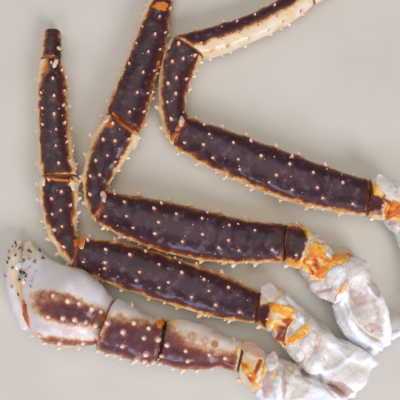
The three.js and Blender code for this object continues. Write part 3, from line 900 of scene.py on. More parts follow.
LEG1_HIP_MARKS = (
    Blob(53.5, -135.5, 25, 17.2, -45, BEIGE, 0, 0.9), Blob(39.5, -119, 8.6, 7, -30, CREAM, 0, 0.85),
    Blob(35.5, -115, 6.2, 3.9, -20, ORANGE, 0, 0.6), Blob(34, -103, 8.6, 6.2, -45, PEACH, 0.3, 0.6),
    Blob(36.5, -113, 6.2, 1.6, -10, ORANGE, 0.3, 0.6), Blob(44, -117.5, 6.6, 5.5, -20, AMBER, 0.9),
    Blob(43, -114.5, 4.7, 2.7, -25, YELLOW, 0.6, 0.8), Blob(44.5, -125, 5.5, 3.1, -5, RUST, 0.4),
    Blob(40, -129, 3.9, 1.2, -25, BROWN, -0.7, 0.7), Blob(34, -128, 6.2, 3.9, -38, AMBER, 0.6, 0.9),
    Blob(36, -124.5, 2.8, 1.9, 20, CREAM, 0.8), Blob(31.5, -129, 2.3, 1.6, -20, CREAM, 0.9),
    Blob(38.5, -132, 3.1, 1.7, -50, RUST, 0.4, 0.9), Blob(41.5, -137, 10.1, 5.5, 72, ROSE, 0.2),
    Blob(38, -143, 3.9, 3.1, 0, PINK, 0.3, 0.9), Blob(51.5, -132.5, 13.3, 7, 60, PALE, 0, 0.8),
    Fold(((61.5, -122), (59, -129), (54.5, -134), (47.5, -138.5)), 3.4, AMBER, 0.9, 0.95),
    Fold(((56, -135), (51, -138), (46, -140)), 1.6, ORANGE, 0.2, 0.6),
    Fold(((60.5, -122.5), (58.5, -129), (53.5, -133.5)), 1.6, YELLOW, 0.3, 0.7),
    Blob(58, -144, 14.8, 5.3, 60, PALE, 1.8), Blob(66.5, -140, 10.1, 2, 75, CREAM, 0.2, 0.8),
    Blob(70.5, -129.5, 17.9, 7.8, -43, BEIGE, 0.6, 0.95), Blob(63, -122.5, 6.2, 3.9, -45, PINK, 0, 0.4),
    Blob(68.5, -150.5, 12.5, 6.2, -15, BEIGE, 0.2, 0.7),
    Fold(((53.5, -146), (56.5, -151.5), (53, -157.5)), 0.8, BEIGE, -0.9, 0.7),
    Fold(((71, -151.5), (74, -154.5), (72, -159.5)), 0.8, BEIGE, -0.8, 0.5),
    Blob(87.5, -158, 20.3, 14, -20, PALE, 0.2, 0.8),
    Fold(((53, -161.5), (65, -164.5), (80.5, -160), (93, -150)), 2, WHITE, 1.1, 0.6),
    Fold(((80, -143), (87.5, -152), (100.5, -155), (110, -148.5)), 2, WHITE, 1, 0.6),
    Blob(84, -176, 10.1, 4.7, -25, CREAM, -0.6, 0.6),
    Fold(((68, -166), (72.5, -174.5), (78.5, -181)), 0.9, BEIGE, -1, 0.8),
)
CLAW_HIP_MARKS = (
    Blob(41.5, -165.5, 20.3, 15.6, -40, BEIGE, 0, 0.85), Blob(16.5, -152, 11.7, 8.6, -38, PEACH, 0, 0.85),
    Blob(17.5, -144, 8.6, 3.1, -28, BEIGE, 0.4, 0.8), Blob(16.5, -149, 8.6, 3.9, -38, CREAM, 0.3, 0.8),
    Fold(((7.5, -145.5), (8.5, -151.5), (10, -157.5)), 1.4, AMBER, 0.2, 0.7),
    Blob(22, -156, 3.9, 2.3, -60, AMBER, 0.3, 0.7), Blob(13.5, -161.5, 7, 3.9, -50, AMBER, 0.4, 0.9),
    Blob(11.5, -158.5, 2.7, 1.7, -20, RUST, -0.3, 0.8), Blob(16, -161, 2.5, 1.6, -60, YELLOW, 0.7, 0.9),
    Blob(13, -162.5, 1.9, 1.2, -30, CREAM, 0.9, 0.9), Blob(18, -165.5, 2.8, 1.9, -60, ORANGE, 0.5, 0.9),
    Blob(16, -169, 2.8, 1.7, -50, RUST, 0.3, 0.9), Blob(19, -162.5, 1.6, 1.1, -60, CREAM, 0.8, 0.8),
    Blob(21, -158.5, 1.9, 5.1, -28, BROWN, -0.7, 0.85), Blob(19.5, -172, 3.1, 1.7, -50, AMBER, 0.5, 0.9),
    Blob(25, -164.5, 2, 4.7, 0, ROSE, -0.3, 0.6), Blob(26.5, -158.5, 3.9, 3.3, 20, AMBER, 0.6, 0.9),
    Blob(32.5, -155, 7, 5.5, 70, WHITE, 1), Blob(28.5, -171.5, 4.7, 10.1, -8, PINK, 0.2, 0.9),
    Blob(27, -168.5, 2, 7, -8, PEACH, 0, 0.5), Blob(32.5, -164.5, 3.5, 1.9, 50, AMBER, 0.3, 0.7),
    Blob(36, -175, 10.9, 3.6, 84, WHITE, 1.6), Blob(44.5, -172, 10.1, 3.4, 72, PALE, 1.4),
    Blob(40, -171.5, 1.2, 9.4, -4, CREAM, 0, 0.7), Blob(48, -161.5, 5.5, 1.9, -25, AMBER, 0.5, 0.6),
    Blob(55.5, -162.5, 7.8, 7, 0, PALE, -0.4, 0.9), Blob(57.5, -164, 3.9, 3.1, -30, CREAM, -0.8, 0.4),
)
LEG3_HIP_MARKS = (
    Blob(123.5, -20.5, 9.4, 7, -50, PALE, 0.2, 0.9), Blob(115.5, -23, 5.5, 3.9, -70, AMBER, 0.6, 0.9),
    Blob(111.5, -20.5, 3.9, 1.6, -75, ORANGE, 0, 0.6), Blob(118.5, -26, 3.9, 2.3, -60, CREAM, 0.3, 0.7),
    Blob(124.5, -24.5, 6.2, 3.9, -40, PINK, 0, 0.6), Blob(129, -40, 7.8, 7.8, 0, ORANGE, 0.8),
    Blob(129, -42, 7, 6.2, 0, RUST, 0, 0.4), Blob(126.5, -36.5, 3.9, 2.7, 20, AMBER, 0.5, 0.9),
    Blob(124.5, -34, 4.7, 1.6, -40, RUST, -0.2, 0.9), Blob(122, -31.5, 3.1, 1.1, -45, BROWN, -0.6, 0.6),
    Blob(130, -49, 4.7, 3.9, 0, PEACH, 0.2, 0.8), Blob(140.5, -67.5, 20.3, 12.5, -50, PALE, 0, 0.8),
    Blob(135.5, -49, 6.2, 3.9, -60, AMBER, 0.4, 0.8),
    Fold(((135.5, -56.5), (138, -63), (139.5, -70.5)), 1.6, AMBER, 0.7, 0.7),
    Blob(141.5, -80, 7.8, 4.7, -40, CREAM, 0, 0.5), Blob(147, -110.5, 26.5, 10.1, -80, BEIGE, -2.4, 0.9),
    # The pink stripe on the dish's east wall is painted shade, on the side turned from the window light
    Blob(155, -107.5, 3.9, 10.1, 5, PINK, -0.3, 0.5), Blob(144, -126, 6.2, 3.9, -60, CREAM, 0, 0.5),
    Fold(((133, -80), (133.5, -97.5), (135.5, -116.5), (137.5, -135.5)), 3.2, WHITE, 1.4, 0.9),
    Fold(((160.5, -133.5), (162.5, -113), (160, -94), (154, -77)), 2.4, WHITE, 1.2, 0.8),
    Fold(((139.5, -90), (141, -109), (144, -128)), 0.9, BEIGE, -0.9, 0.6),
    Blob(149, -144.5, 4.7, 3.9, 0, PINK, -1, 0.7),
)
JOINT_MARKS = (
    # The first mark, brown over the first leg's dactyl stub, is its dark face deepened by painted shade of
    # a tip that turns down
    Blob(-139.5, 96, 10.1, 4.7, 90, BROWN, 0, 0.97), Blob(-54.5, 130, 6.2, 3.9, 0, ORANGE, 0, 0.75),
    Blob(-97.5, 31, 8.6, 3.6, -48, ORANGE, 0, 0.5), Blob(-119, -65, 2.7, 4.7, 0, ORANGE, 0, 0.6),
    Blob(-43.5, 19.5, 2.5, 3.5, 0, ORANGE, 0, 0.5), Blob(-148.5, 77, 2.7, 7, 0, ORANGE, 0, 0.5),
    Fold(((-92, 37.5), (-84, 28.5), (-74.5, 22)), 1.3, ORANGE, 0.4, 0.7),
    Fold(((-147.5, -12.5), (-136, -15.5), (-119.5, -16.5)), 1.3, ORANGE, 0.4, 0.7),
    Fold(((-113, -71.5), (-108.5, -71.5), (-103.5, -74.5)), 0.5, PEACH, -0.3, 0.35),
    Fold(((-95.5, -38), (-92, -38), (-87, -41)), 0.5, PEACH, -0.3, 0.35),
    Fold(((-36.5, 20.5), (-31.5, 21), (-25.5, 18)), 0.5, PEACH, -0.3, 0.35),
)
CLAW_WASHES = (
    Blob(-131.5, -131, 18.7, 3.9, -8, PINK, 0, 0.3), Blob(-125.5, -129.5, 20.3, 5.5, -8, PINK, 0, 0.28),
    Blob(-166, -86, 6.2, 28.1, 12, CREAM, 0, 0.4), Blob(-168.5, -80, 4.7, 20.3, 8, CREAM, 0, 0.3),
    Blob(-159.5, -67.5, 7, 10.9, 25, CREAM, 0, 0.3), Blob(-160.5, -70.5, 3.9, 6.2, 25, PALE, 0, 0.3),
    Blob(-162.5, -100, 2.8, 10.1, 8, PEACH, 0, 0.5), Blob(-156, -119.5, 9.4, 2.5, -78, RUST, 0, 0.9),
    Blob(-154, -125, 2.3, 4.7, 0, ORANGE, 0, 0.7), Blob(-161.5, -64.5, 9.4, 3.9, 0, PEACH, 0, 0.35),
    Blob(-161.5, -98.5, 1.7, 6.2, 10, ORANGE, 0, 0.3), Blob(-169, -72, 2.3, 3.1, 0, PEACH, 0, 0.4),
    Blob(-169, -94, 1.9, 4.7, 10, PEACH, 0, 0.35), Blob(-156, -80, 5.5, 10.9, 10, PINK, 0, 0.3),
    Blob(-154, -70.5, 9.4, 5.5, -40, CREAM, 0, 0.35), Blob(-53, -127.5, 3.6, 3.1, 0, ORANGE, 0.4, 0.9),
    Blob(-114.5, -141.5, 23.4, 2.3, -5, ROSE, 0, 0.35), Blob(-25, -132, 25, 5.5, -20, CREAM, 0, 0.3),
    Blob(-43.5, -124.5, 2.3, 3.1, -20, AMBER, 0, 0.45), Blob(-6, -137, 9.4, 3.1, -26, BEIGE, 0, 0.35),
    Blob(-23, -138.5, 13.3, 3.9, -10, PINK, 0, 0.35),
)

# Every marking, each laid over those before it
PAINTING: tuple[Mark, ...] = (
    LEG2_HIP_MARKS + LEG2_BOWL_MARKS + LEG1_HIP_MARKS + CLAW_HIP_MARKS
    + LEG3_HIP_MARKS + JOINT_MARKS + CLAW_WASHES
)

# Dark areas and rings on the pale shells of the claw
DARK_SPOTS: tuple[DarkSpot | Fold, ...] = (
    DarkSpot(-119.5, -118.5, 25.7, 8.2, -12),
    DarkSpot(-129, -110.5, 17.2, 6.2, -12, 0),
    DarkSpot(-128.5, -140, 12.5, 1.9, -6, 0.6),
    DarkSpot(-105.5, -142.5, 9.4, 1.6, -6, 0.6),
    ring(-144.5, -113, 2.5),
    ring(-133.5, -114.5, 2.2),
    ring(-29, -137, 2.3),
    ring(-19, -140, 2),
    ring(-12, -142.5, 1.7),
)


@dataclass(frozen=True)
class Lobe:
    """An oval lump on a limb: its place and half sizes in plan, its turn and height."""

    limb: str
    tone: Tone
    x: float
    y: float
    long: float
    wide: float
    turn: float
    high: float
    edge: float = 0.8
    foot: Tone = Tone.BEIGE

    def outline(self) -> np.ndarray:
        """Returns: Points around the lump in plan."""
        turn, around = math.radians(self.turn), np.linspace(0, 2 * math.pi, 48, endpoint=False)
        along, across = self.long * np.cos(around), self.wide * np.sin(around)
        x = self.x + along * math.cos(turn) - across * math.sin(turn)
        y = self.y + along * math.sin(turn) + across * math.cos(turn)
        return np.stack([x, y], -1)


@dataclass(frozen=True)
class Plate:
    """A thin angular plate over a joint: its corners in plan and its thickness."""

    limb: str
    tone: Tone
    high: float
    corners: tuple[tuple[float, float], ...]
    edge: float = 0.6
    foot: Tone = Tone.BEIGE

    def outline(self) -> np.ndarray:
        """Returns: Points around the plate in plan, its corners a little rounded."""
        corners = np.array(self.corners[::-1])
        sides = zip(np.roll(corners, 1, 0), corners)
        points = np.array([a + (b - a) * k / PLATE_STEPS for a, b in sides for k in range(PLATE_STEPS)])
        for _ in range(PLATE_ROUNDS):
            points = (np.roll(points, 1, 0) + 2 * points + np.roll(points, -1, 0)) / 4
        return points


Lump = Lobe | Plate


# Lumps, knuckles and plates at the joints, in the row frame
LUMPS: tuple[Lump, ...] = (
    Lobe("leg1", CREAM, 49, -120.5, 2.8, 2, -60, 1.4),
    Lobe("leg1", WHITE, 54, -122.5, 5.1, 2.5, -62, 2),
    Lobe("leg1", ORANGE, -116, -64.5, 5.1, 2.5, 95, 2.6),
    Lobe("leg1", RUST, -118.5, -68.5, 3.5, 1.9, 110, 1.8),
    Lobe("leg1", CREAM, -147, -16.5, 4.3, 2.3, 100, 2),
    Lobe("leg1", CREAM, -123.5, -19.5, 4.7, 2.2, 100, 2),
    Lobe("leg1", PEACH, -139, 96, 2, 1.8, 0, 1.8),
    Lobe("leg1", CREAM, -141, 82, 4.7, 1.8, 75, 2.2),
    Lobe("leg2", WHITE, 77, -74.5, 3.9, 2.2, -60, 2),
    Lobe("leg2", ORANGE, 95, -75.5, 5.1, 2.7, -35, 1.4),
    Lobe("leg2", PEACH, -99, -28.5, 5.1, 2.3, 100, 2.6),
    Lobe("leg2", PEACH, -97.5, 33.5, 4.7, 2.5, 45, 2.2),
    Lobe("leg2", CREAM, -74.5, 16.5, 6.2, 2, 66, 2.4),
    Lobe("leg3", PEACH, -38, 32, 5.1, 2.5, 80, 2.6),
    Lobe("leg3", RUST, -40.5, 27, 3.1, 1.9, 60, 1.8),
    Lobe("leg3", PEACH, -48.5, 96, 4.3, 2, 95, 2.2),
    Lobe("claw", PALE, 32.5, -154.5, 6.2, 3.6, 70, 1.8),
    Lobe("claw", ORANGE, -53, -126.5, 2.8, 2, -20, 1.4),
    Lobe("claw", RUST, -156.5, -119.5, 7.8, 2, -80, 1.8),
    Lobe("claw", WHITE, -165, -83, 3.3, 2.2, -80, 1.8),
    Lobe("claw", WHITE, -160.5, -94.5, 3.1, 2.2, -70, 1.8),
    Plate("leg1", PALE, 1,
         ((32.5, -94.5), (45.5, -111.5), (41, -113.5), (31, -111.5), (24, -103), (25, -98.5))),
    Plate("leg2", PEACH, 1,
         ((80.5, -70.5), (86.5, -67), (97, -68.5), (101, -75.5), (93.5, -81.5), (83.5, -78.5))),
    Plate("leg3", PALE, 1,
         ((119, -8.5), (134, -23.5), (135.5, -35.5), (125.5, -31), (119, -24.5), (114, -17.5))),
    Plate("claw", PEACH, 1,
         ((12, -140), (17, -140), (27.5, -148.5), (24.5, -154.5), (12, -150.5), (7.5, -144.5))),
)


def mesh_from(name: str, points: np.ndarray, quads: np.ndarray, triangles: np.ndarray) -> bpy.types.Mesh:
    """A smooth mesh from arrays.

    Args:
        name: The mesh's name.
        points: Corner points in metres.
        quads: Rows of four corner numbers.
        triangles: Rows of three corner numbers.

    Returns:
        The mesh.
    """
    mesh = bpy.data.meshes.new(name)
    mesh.vertices.add(len(points))
    mesh.vertices.foreach_set("co", points.astype(np.float32).ravel())
    corners = np.concatenate([quads.ravel(), triangles.ravel()]).astype(np.int32)
    sizes = np.concatenate([np.full(len(quads), 4), np.full(len(triangles), 3)])
    mesh.loops.add(len(corners))
    mesh.loops.foreach_set("vertex_index", corners)
    mesh.polygons.add(len(sizes))
    starts = np.concatenate([[0], np.cumsum(sizes)[:-1]]).astype(np.int32)
    mesh.polygons.foreach_set("loop_start", starts)
    mesh.update(calc_edges=True)
    mesh.validate()
    mesh.shade_smooth()
    return mesh


def add_attribute(mesh: bpy.types.Mesh, name: str, values: np.ndarray) -> None:
    """Args: a mesh, a name, and a number for each of its points to store under it."""
    layer = mesh.attributes.new(name, "FLOAT", "POINT")
    layer.data.foreach_set("value", values.astype(np.float32).ravel())


def add_grid_attribute(mesh: bpy.types.Mesh, name: str, values: np.ndarray) -> None:
    """Args: a lofted mesh, a name, and a number for each point of its grid."""
    poles = [values[0].mean(), values[-1].mean()]
    add_attribute(mesh, name, np.concatenate([values.ravel(), poles]))


def add_piece(name: str, mesh: bpy.types.Mesh, finish: bpy.types.Material,
              nodes: Iterable[str]) -> None:
    """Puts a mesh in the scene as a piece.

    Args:
        name: The piece's name.
        mesh: Its mesh.
        finish: Its material.
        nodes: The CAD nodes that it stands for.
    """
    mesh.materials.append(finish)
    piece = bpy.data.objects.new(name, mesh)
    bpy.context.scene.collection.objects.link(piece)
    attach(piece, BODY)
    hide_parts(*nodes)
    log.info("%s: %d faces", name, len(mesh.polygons))


def normals_of(grid: np.ndarray) -> np.ndarray:
    """Outward directions of a lofted grid.

    Args:
        grid: Points by ring and by column, the columns going round.

    Returns:
        A unit vector for each point.
    """
    around = np.roll(grid, -1, 1) - np.roll(grid, 1, 1)
    onward = np.gradient(grid, axis=0)
    outward = np.cross(around, onward)
    return outward / np.maximum(np.linalg.norm(outward, axis=-1, keepdims=True), 1e-9)


Parts = tuple[np.ndarray, np.ndarray, np.ndarray]


def loft(grid: np.ndarray) -> Parts:
    """A closed surface through rings of points.

    Args:
        grid: Points by ring and by column.

    Returns:
        The points, a pole at each end added, and the corners of quads and triangles.
    """
    rings, columns = grid.shape[:2]
    numbers = np.arange(rings * columns).reshape(rings, columns)
    following = np.roll(numbers, -1, 1)
    quads = np.stack([numbers[:-1], following[:-1], following[1:], numbers[1:]], -1).reshape(-1, 4)
    near_pole, far_pole = rings * columns, rings * columns + 1
    near_fan = np.stack([following[0], numbers[0], np.full(columns, near_pole)], -1)
    far_fan = np.stack([numbers[-1], following[-1], np.full(columns, far_pole)], -1)
    points = np.concatenate([grid.reshape(-1, 3), [grid[0].mean(0)], [grid[-1].mean(0)]])
    return points, quads, np.concatenate([near_fan, far_fan])


def loft_mesh(name: str, grids: Iterable[np.ndarray]) -> bpy.types.Mesh:
    """One mesh of several closed parts.

    Args:
        name: The mesh's name.
        grids: A grid of points for each part, in millimetres.

    Returns:
        The mesh.
    """
    points, quads, triangles = [], [], []
    count = 0
    for grid in grids:
        part = loft(grid)
        points.append(part[0] * MM)
        quads.append(part[1] + count)
        triangles.append(part[2] + count)
        count += len(part[0])
    return mesh_from(name, *(np.concatenate(parts) for parts in (points, quads, triangles)))


def turned_down(normals: np.ndarray) -> np.ndarray:
    """Args: normals, outward directions. Returns: how much sooner a marking ends there."""
    return TURNED_DOWN * np.clip(DOWN_SLOPE - normals[..., 2], 0, 1)


def painted(points: np.ndarray, normals: np.ndarray, base: Tone | None = None
            ) -> tuple[np.ndarray, np.ndarray, np.ndarray]:
    """Lays the markings over a surface, one over the other.

    Args:
        points: Its points in millimetres.
        normals: Its outward directions.
        base: The tone below the markings, or none where they lie on a shell.

    Returns:
        The tone, how much it covers, and how far the markings raise each point.
    """
    tones = np.full(points.shape[:-1], (base or Tone.BEIGE).value)
    cover = np.full(points.shape[:-1], 1.0 if base else 0.0)
    lift = np.zeros(points.shape[:-1])
    wander = swell(points, EDGE_WAVES, EDGE_SEED)
    upward = np.clip(normals[..., 2] * 2, 0, 1)
    sooner = turned_down(normals)
    for mark in PAINTING:
        reach = mark.reach(points)
        if reach.max() < -MARK_MARGIN - mark.firmness:
            continue
        reach = reach + wander * mark.firmness
        lift = lift + mark.lift(reach) * upward
        step = np.clip((reach - sooner) / EDGE_FADE + 0.5, 0, 1)
        share = mark.cover * step * step * (3 - 2 * step)
        left = cover * (1 - share)
        tones = (tones * left + mark.tone.value * share) / np.maximum(left + share, 1e-6)
        cover = left + share
    gel = np.clip((GEL_TONE - tones) / GEL_FADE, 0, 1) * cover * upward
    lift = lift + gel * GEL_RISE * np.abs(ripple(points, GEL_WAVE, GEL_SEED))
    return tones, cover, lift


def rim_wave(seed: int, around: np.ndarray, size: float) -> np.ndarray:
    """How a rim wanders along its limb.

    Args:
        seed: The joint's number, the same for the shells on both sides.
        around: Angles around the shell.
        size: The most that it wanders, about.

    Returns:
        Millimetres towards the tip of the limb.
    """
    waves = (
        wobble(seed + k) * np.cos(k * around + RIM_TWIST * wobble(seed - k)) / k**0.5
        for k in (1, 2, 3, 4)
    )
    return size * sum(waves) / RIM_EVEN


@dataclass
class Shell:
    """The fine shell of one segment, with its relief and its markings."""

    segment: Segment
    spines: list[Spine]
    swells: tuple[tuple[float, float], ...] = ((14.0, 0.2), (5.0, 0.05))
    rim_profile: tuple[tuple[float, float], ...] = (
        (1.5, 0.15), (1.5, 0.5), (1.2, 0.8), (0.5, 0.92), (0, 0.98),
    )

    def rings(self) -> tuple[np.ndarray, np.ndarray, np.ndarray]:
        """The rings of the loft, with the ends turned in.

        Returns:
            Distances along the segment, shrinks, and how far the relief reaches each ring.
        """
        segment = self.segment
        start, end = segment.near_clear, segment.length - segment.far_clear
        body = np.linspace(start, end, max(6, int((end - start) / GRID)))
        insets, rim = np.array(self.rim_profile).T
        near = start + insets * (segment.near_clear > 0)
        far = end - insets * (segment.far_clear > 0)
        runs = np.concatenate([near, body, far[::-1]])
        shrinks = np.concatenate([rim, np.ones(len(body)), rim[::-1]])
        from_rim = np.minimum(runs - start, end - runs)
        return runs, shrinks, np.clip(from_rim / RIM_FADE, 0, 1) * (shrinks == 1)

    def shares(self, runs: np.ndarray, around: np.ndarray) -> np.ndarray:
        """Shares of the length, with wavy rims.

        Args:
            runs: Distances along the segment.
            around: Angles around the shell.

        Returns:
            The shares.
        """
        segment = self.segment
        to_far = segment.length - runs
        near_wave = rim_wave(segment.near_seed, around, segment.waves[0])
        far_wave = rim_wave(segment.seed, around, segment.waves[1])
        near = near_wave * np.clip(1 - runs / WAVE_REACH, 0, 1) ** 2
        far = far_wave * np.clip(1 - to_far / WAVE_REACH, 0, 1) ** 2
        return (runs + near + far) / segment.length

    def lift(self, points: np.ndarray) -> np.ndarray:
        """How far swells and the roots of spines raise the shell.

        Args:
            points: The plain shell's points.

        Returns:
            Millimetres for each point.
        """
        total = swell(points, self.swells, self.segment.seed + RELIEF_SEED)
        for spine in self.spines:
            gap = np.linalg.norm(points - spine.foot, axis=-1)
            rise = (ROOT_RISE - ROOT_SHADED * spine.shade) * spine.radius
            total = total + rise * np.exp(-((gap / (ROOT_REACH * spine.radius)) ** 2))
        return total

    def dark_reach(self, share: np.ndarray, around: np.ndarray) -> np.ndarray:
        """How far inside the dark face each point is.

        Args:
            share: Shares of the length.
            around: Angles around the shell.

        Returns:
            Millimetres, negative outside the face.
        """
        patch = self.segment.patch
        if patch is None:
            return np.full(share.shape, -FAR_OFF)
        width = self.segment.half_width(share, around)
        side = rounded(np.cos(around)) * width
        from_left = width - side - size_along(patch.left, share)
        from_right = (width + side - size_along(patch.right, share)) / patch.fade
        run = share * self.segment.length
        ends = np.minimum(run - patch.near, self.segment.length - run - patch.far)
        below = np.clip(-np.sin(around), 0, 1) * width * self.segment.kind.depth
        points = self.segment.point(share, around)
        wander = FACE_WANDER * ripple(points, FACE_WAVE, self.segment.seed + FACE_SEED)
        return np.minimum(np.minimum(from_left, from_right), ends) + wander - BELLY_PULL * below

    def markings(self, run: np.ndarray, around: np.ndarray, points: np.ndarray,
                 normals: np.ndarray) -> dict[str, np.ndarray]:
        """How far each point is from the shell's own markings.

        Args:
            run: Distances along the segment.
            around: Angles around the shell.
            points: The points.
            normals: Their outward directions.

        Returns:
            Values in millimetres by attribute name.
        """
        dark = self.dark_reach(run / self.segment.length, around)
        if self.segment.slot is Slot.PALE:
            for spot in DARK_SPOTS:
                dark = np.maximum(dark, spot.reach(points) - turned_down(normals))
        root = np.full(run.shape, FAR_OFF)
        for spine in self.spines:
            root = np.minimum(root, np.linalg.norm(points - spine.foot, axis=-1) - spine.radius)
        from_near = run + (FAR_OFF if self.segment.kind is ISCHIUM else 0)
        found = {"dark": dark, "root": root, "rim": np.minimum(from_near, self.segment.length - run)}
        return {name: np.clip(values, -FAR_OFF, FAR_OFF) for name, values in found.items()}

    def build(self) -> bpy.types.Mesh:
        """Returns: The shell's mesh, with its markings as attributes."""
        segment = self.segment
        runs, shrinks, weights = self.rings()
        width = max(segment.half_widths)
        columns = int(2 * math.pi * width * (1 + segment.kind.depth) / 2 / GRID)
        angles = np.arange(columns) * 2 * math.pi / columns
        run, around = np.meshgrid(runs, angles, indexing="ij")
        plain = segment.point(self.shares(run, around), around, shrinks[:, None])
        normals = normals_of(plain)
        tones, cover, raised = painted(plain, normals)
        points = plain + normals * ((self.lift(plain) + raised) * weights[:, None])[..., None]
        points[..., 2] = np.maximum(points[..., 2], 0)
        mesh = loft_mesh(segment.name, [points])
        found = self.markings(run, around, plain, normals)
        for name, values in {**found, "tone": tones, "cover": cover}.items():
            add_grid_attribute(mesh, name, values)
        return mesh


@dataclass(frozen=True)
class Bulge:
    """A place in plan where the skin swells sideways, how far and over what radius."""

    x: float
    y: float
    out: float
    radius: float


BULGES = (Bulge(66, -97, 4.5, 5.5), Bulge(70.5, -107, 5, 5.5))


@dataclass
class LimbSkin:
    """The soft skin over the inner segments of a limb, in one piece from its torn end."""

    segments: list[Segment]
    base: Tone = Tone.WHITE
    step: float = 0.6
    evening: int = 16
    hollow: float = 3.0
    tear: float = 1.5
    torn: int = 14
    girth: float = 5.6
    swells: tuple[tuple[float, float], ...] = ((21.0, 0.55), (8.0, 0.22), (3.0, 0.1))
    near_shrinks: tuple[float, ...] = (0.08, 0.3, 0.5, 0.7, 0.84, 0.93, 0.98)
    far_shrinks: tuple[float, ...] = (0.98, 0.9, 0.7, 0.3)

    def grid(self) -> np.ndarray:
        """Returns: The rings of the skin without its relief, evened out over the joints."""
        width = max(max(segment.half_widths) for segment in self.segments)
        around = np.arange(int(self.girth * width / self.step)) * 2 * math.pi
        around = around / len(around)
        rows = []
        for segment in self.segments:
            shares = np.linspace(0, 1, int(segment.length / self.step), endpoint=False)
            rows.append(segment.point(shares[:, None], around))
        grid = np.concatenate(rows + [self.segments[-1].point(np.ones((1, 1)), around)])
        for _ in range(self.evening):
            grid[1:-1] = (grid[:-2] + 2 * grid[1:-1] + grid[2:]) / 4
        normals = normals_of(grid)
        for bulge in BULGES:
            gap = np.hypot(grid[..., 0] - bulge.x, grid[..., 1] - bulge.y)
            sideways = normals * (1, 1, 0) * bulge.out
            grid = grid + sideways * np.exp(-((gap / bulge.radius) ** 2))[..., None]
        onward = grid[1].mean(0) - grid[0].mean(0)
        onward /= np.linalg.norm(onward)
        seed = self.segments[0].seed
        waves = sum(wobble(k + seed) * np.cos(k * around + k * k) for k in range(2, 13))
        fade = np.clip(1 - np.arange(self.torn) / self.torn, 0, 1) ** 2
        grid[: self.torn] += onward * (fade[:, None] * (self.tear * waves / 2))[..., None]
        middle, last = grid[0].mean(0), grid[-1].mean(0)
        inward = onward * self.hollow
        near = [middle + (grid[0] - middle) * s + inward * (1 - s**3) for s in self.near_shrinks]
        far = [last + (grid[-1] - last) * s for s in self.far_shrinks]
        return np.concatenate([near, grid, far])

    def build(self, name: str) -> bpy.types.Mesh:
        """Makes the skin.

        Args:
            name: The mesh's name.

        Returns:
            The mesh, with its tones.
        """
        plain = self.grid()
        normals = normals_of(plain)
        tones, _, raised = painted(plain, normals, self.base)
        relief = swell(plain, self.swells, self.segments[0].seed + RELIEF_SEED) + raised
        weights = np.ones(len(plain))
        weights[-len(self.far_shrinks):] = 0
        points = plain + normals * (relief * weights[:, None])[..., None]
        points[..., 2] = np.maximum(points[..., 2], 0)
        mesh = loft_mesh(name, [points])
        add_grid_attribute(mesh, "tone", tones)
        return mesh


@dataclass
class JointSkin:
    """The wrinkled skin that shows between the shells on either side of a joint."""

    inner: Segment
    outer: Segment
    reach: float = 3.6
    fullness: float = 0.92
    wrinkle: float = 0.02
    pitch: float = 1.5
    pinch: float = 0.1
    crumple: float = 0.018
    step: float = 0.35
    columns: int = 120
    lowest: float = 0.05

    def grid(self) -> np.ndarray:
        """Returns: The rings of the skin in millimetres."""
        places = np.arange(-self.reach, self.reach + 0.01, self.step)
        around = np.arange(self.columns) * 2 * math.pi / self.columns
        rows = []
        wave = rim_wave(self.inner.seed, around, self.inner.waves[1])
        for place in places:
            mix = min(1, max(0, (place + 1) / 2))
            near = self.inner.point(1 + (min(-1, place) + wave) / self.inner.length, around)
            far = self.outer.point((max(1, place) + wave) / self.outer.length, around)
            row = near * (1 - mix) + far * mix
            middle = row.mean(0)
            size = self.fullness + self.wrinkle * math.cos(2 * math.pi * place / self.pitch)
            size -= self.pinch * (abs(place) / self.reach) ** 2
            shape = size + self.crumple * ripple(row, 5, 3)[:, None]
            rows.append(middle + (row - middle) * shape)
        grid = np.stack(rows)
        grid[..., 2] = np.maximum(grid[..., 2], self.lowest)
        return grid

    def build(self, name: str) -> bpy.types.Mesh:
        """Args: name, the mesh's name. Returns: the mesh."""
        return loft_mesh(name, [self.grid()])


def operator(operation: str, swapped: bool = False) -> Callable[["Term", Any], "Term"]:
    """An arithmetic method for terms.

    Args:
        operation: The Math node's operation.
        swapped: Whether the term comes second.

    Returns:
        The method.
    """
    def method(self: "Term", other: Any) -> "Term":
        """Returns: The result of the operation on self and other."""
        return self.math(operation, *((other, self) if swapped else (self, other)))

    return method


class Term:
    """A value inside a node tree: arithmetic on it adds Math nodes."""

    def __init__(self, book: "NodeBook", socket: bpy.types.NodeSocket) -> None:
        """Args: the book that adds its nodes, and the output that it stands for."""
        self.book, self.socket = book, socket

    def math(self, operation: str, *values: Any) -> "Term":
        """Args: a Math node's operation and its values. Returns: its result."""
        inputs = dict(enumerate(values))
        return self.book.term("ShaderNodeMath", {"operation": operation}, inputs)

    __add__, __radd__ = operator("ADD"), operator("ADD", swapped=True)
    __sub__, __rsub__ = operator("SUBTRACT"), operator("SUBTRACT", swapped=True)
    __mul__, __rmul__ = operator("MULTIPLY"), operator("MULTIPLY", swapped=True)
    __truediv__, __pow__ = operator("DIVIDE"), operator("POWER")

    def at_least(self, other: Any) -> "Term":
        """Returns: The larger of self and other."""
        return self.math("MAXIMUM", self, other)

    def rises(self, low: float, high: float) -> "Term":
        """Returns: A smooth step from 0 at low to 1 at high."""
        settings = {"interpolation_type": "SMOOTHSTEP"}
        return self.book.term("ShaderNodeMapRange", settings, {0: self, 1: low, 2: high, 3: 0.0, 4: 1.0})


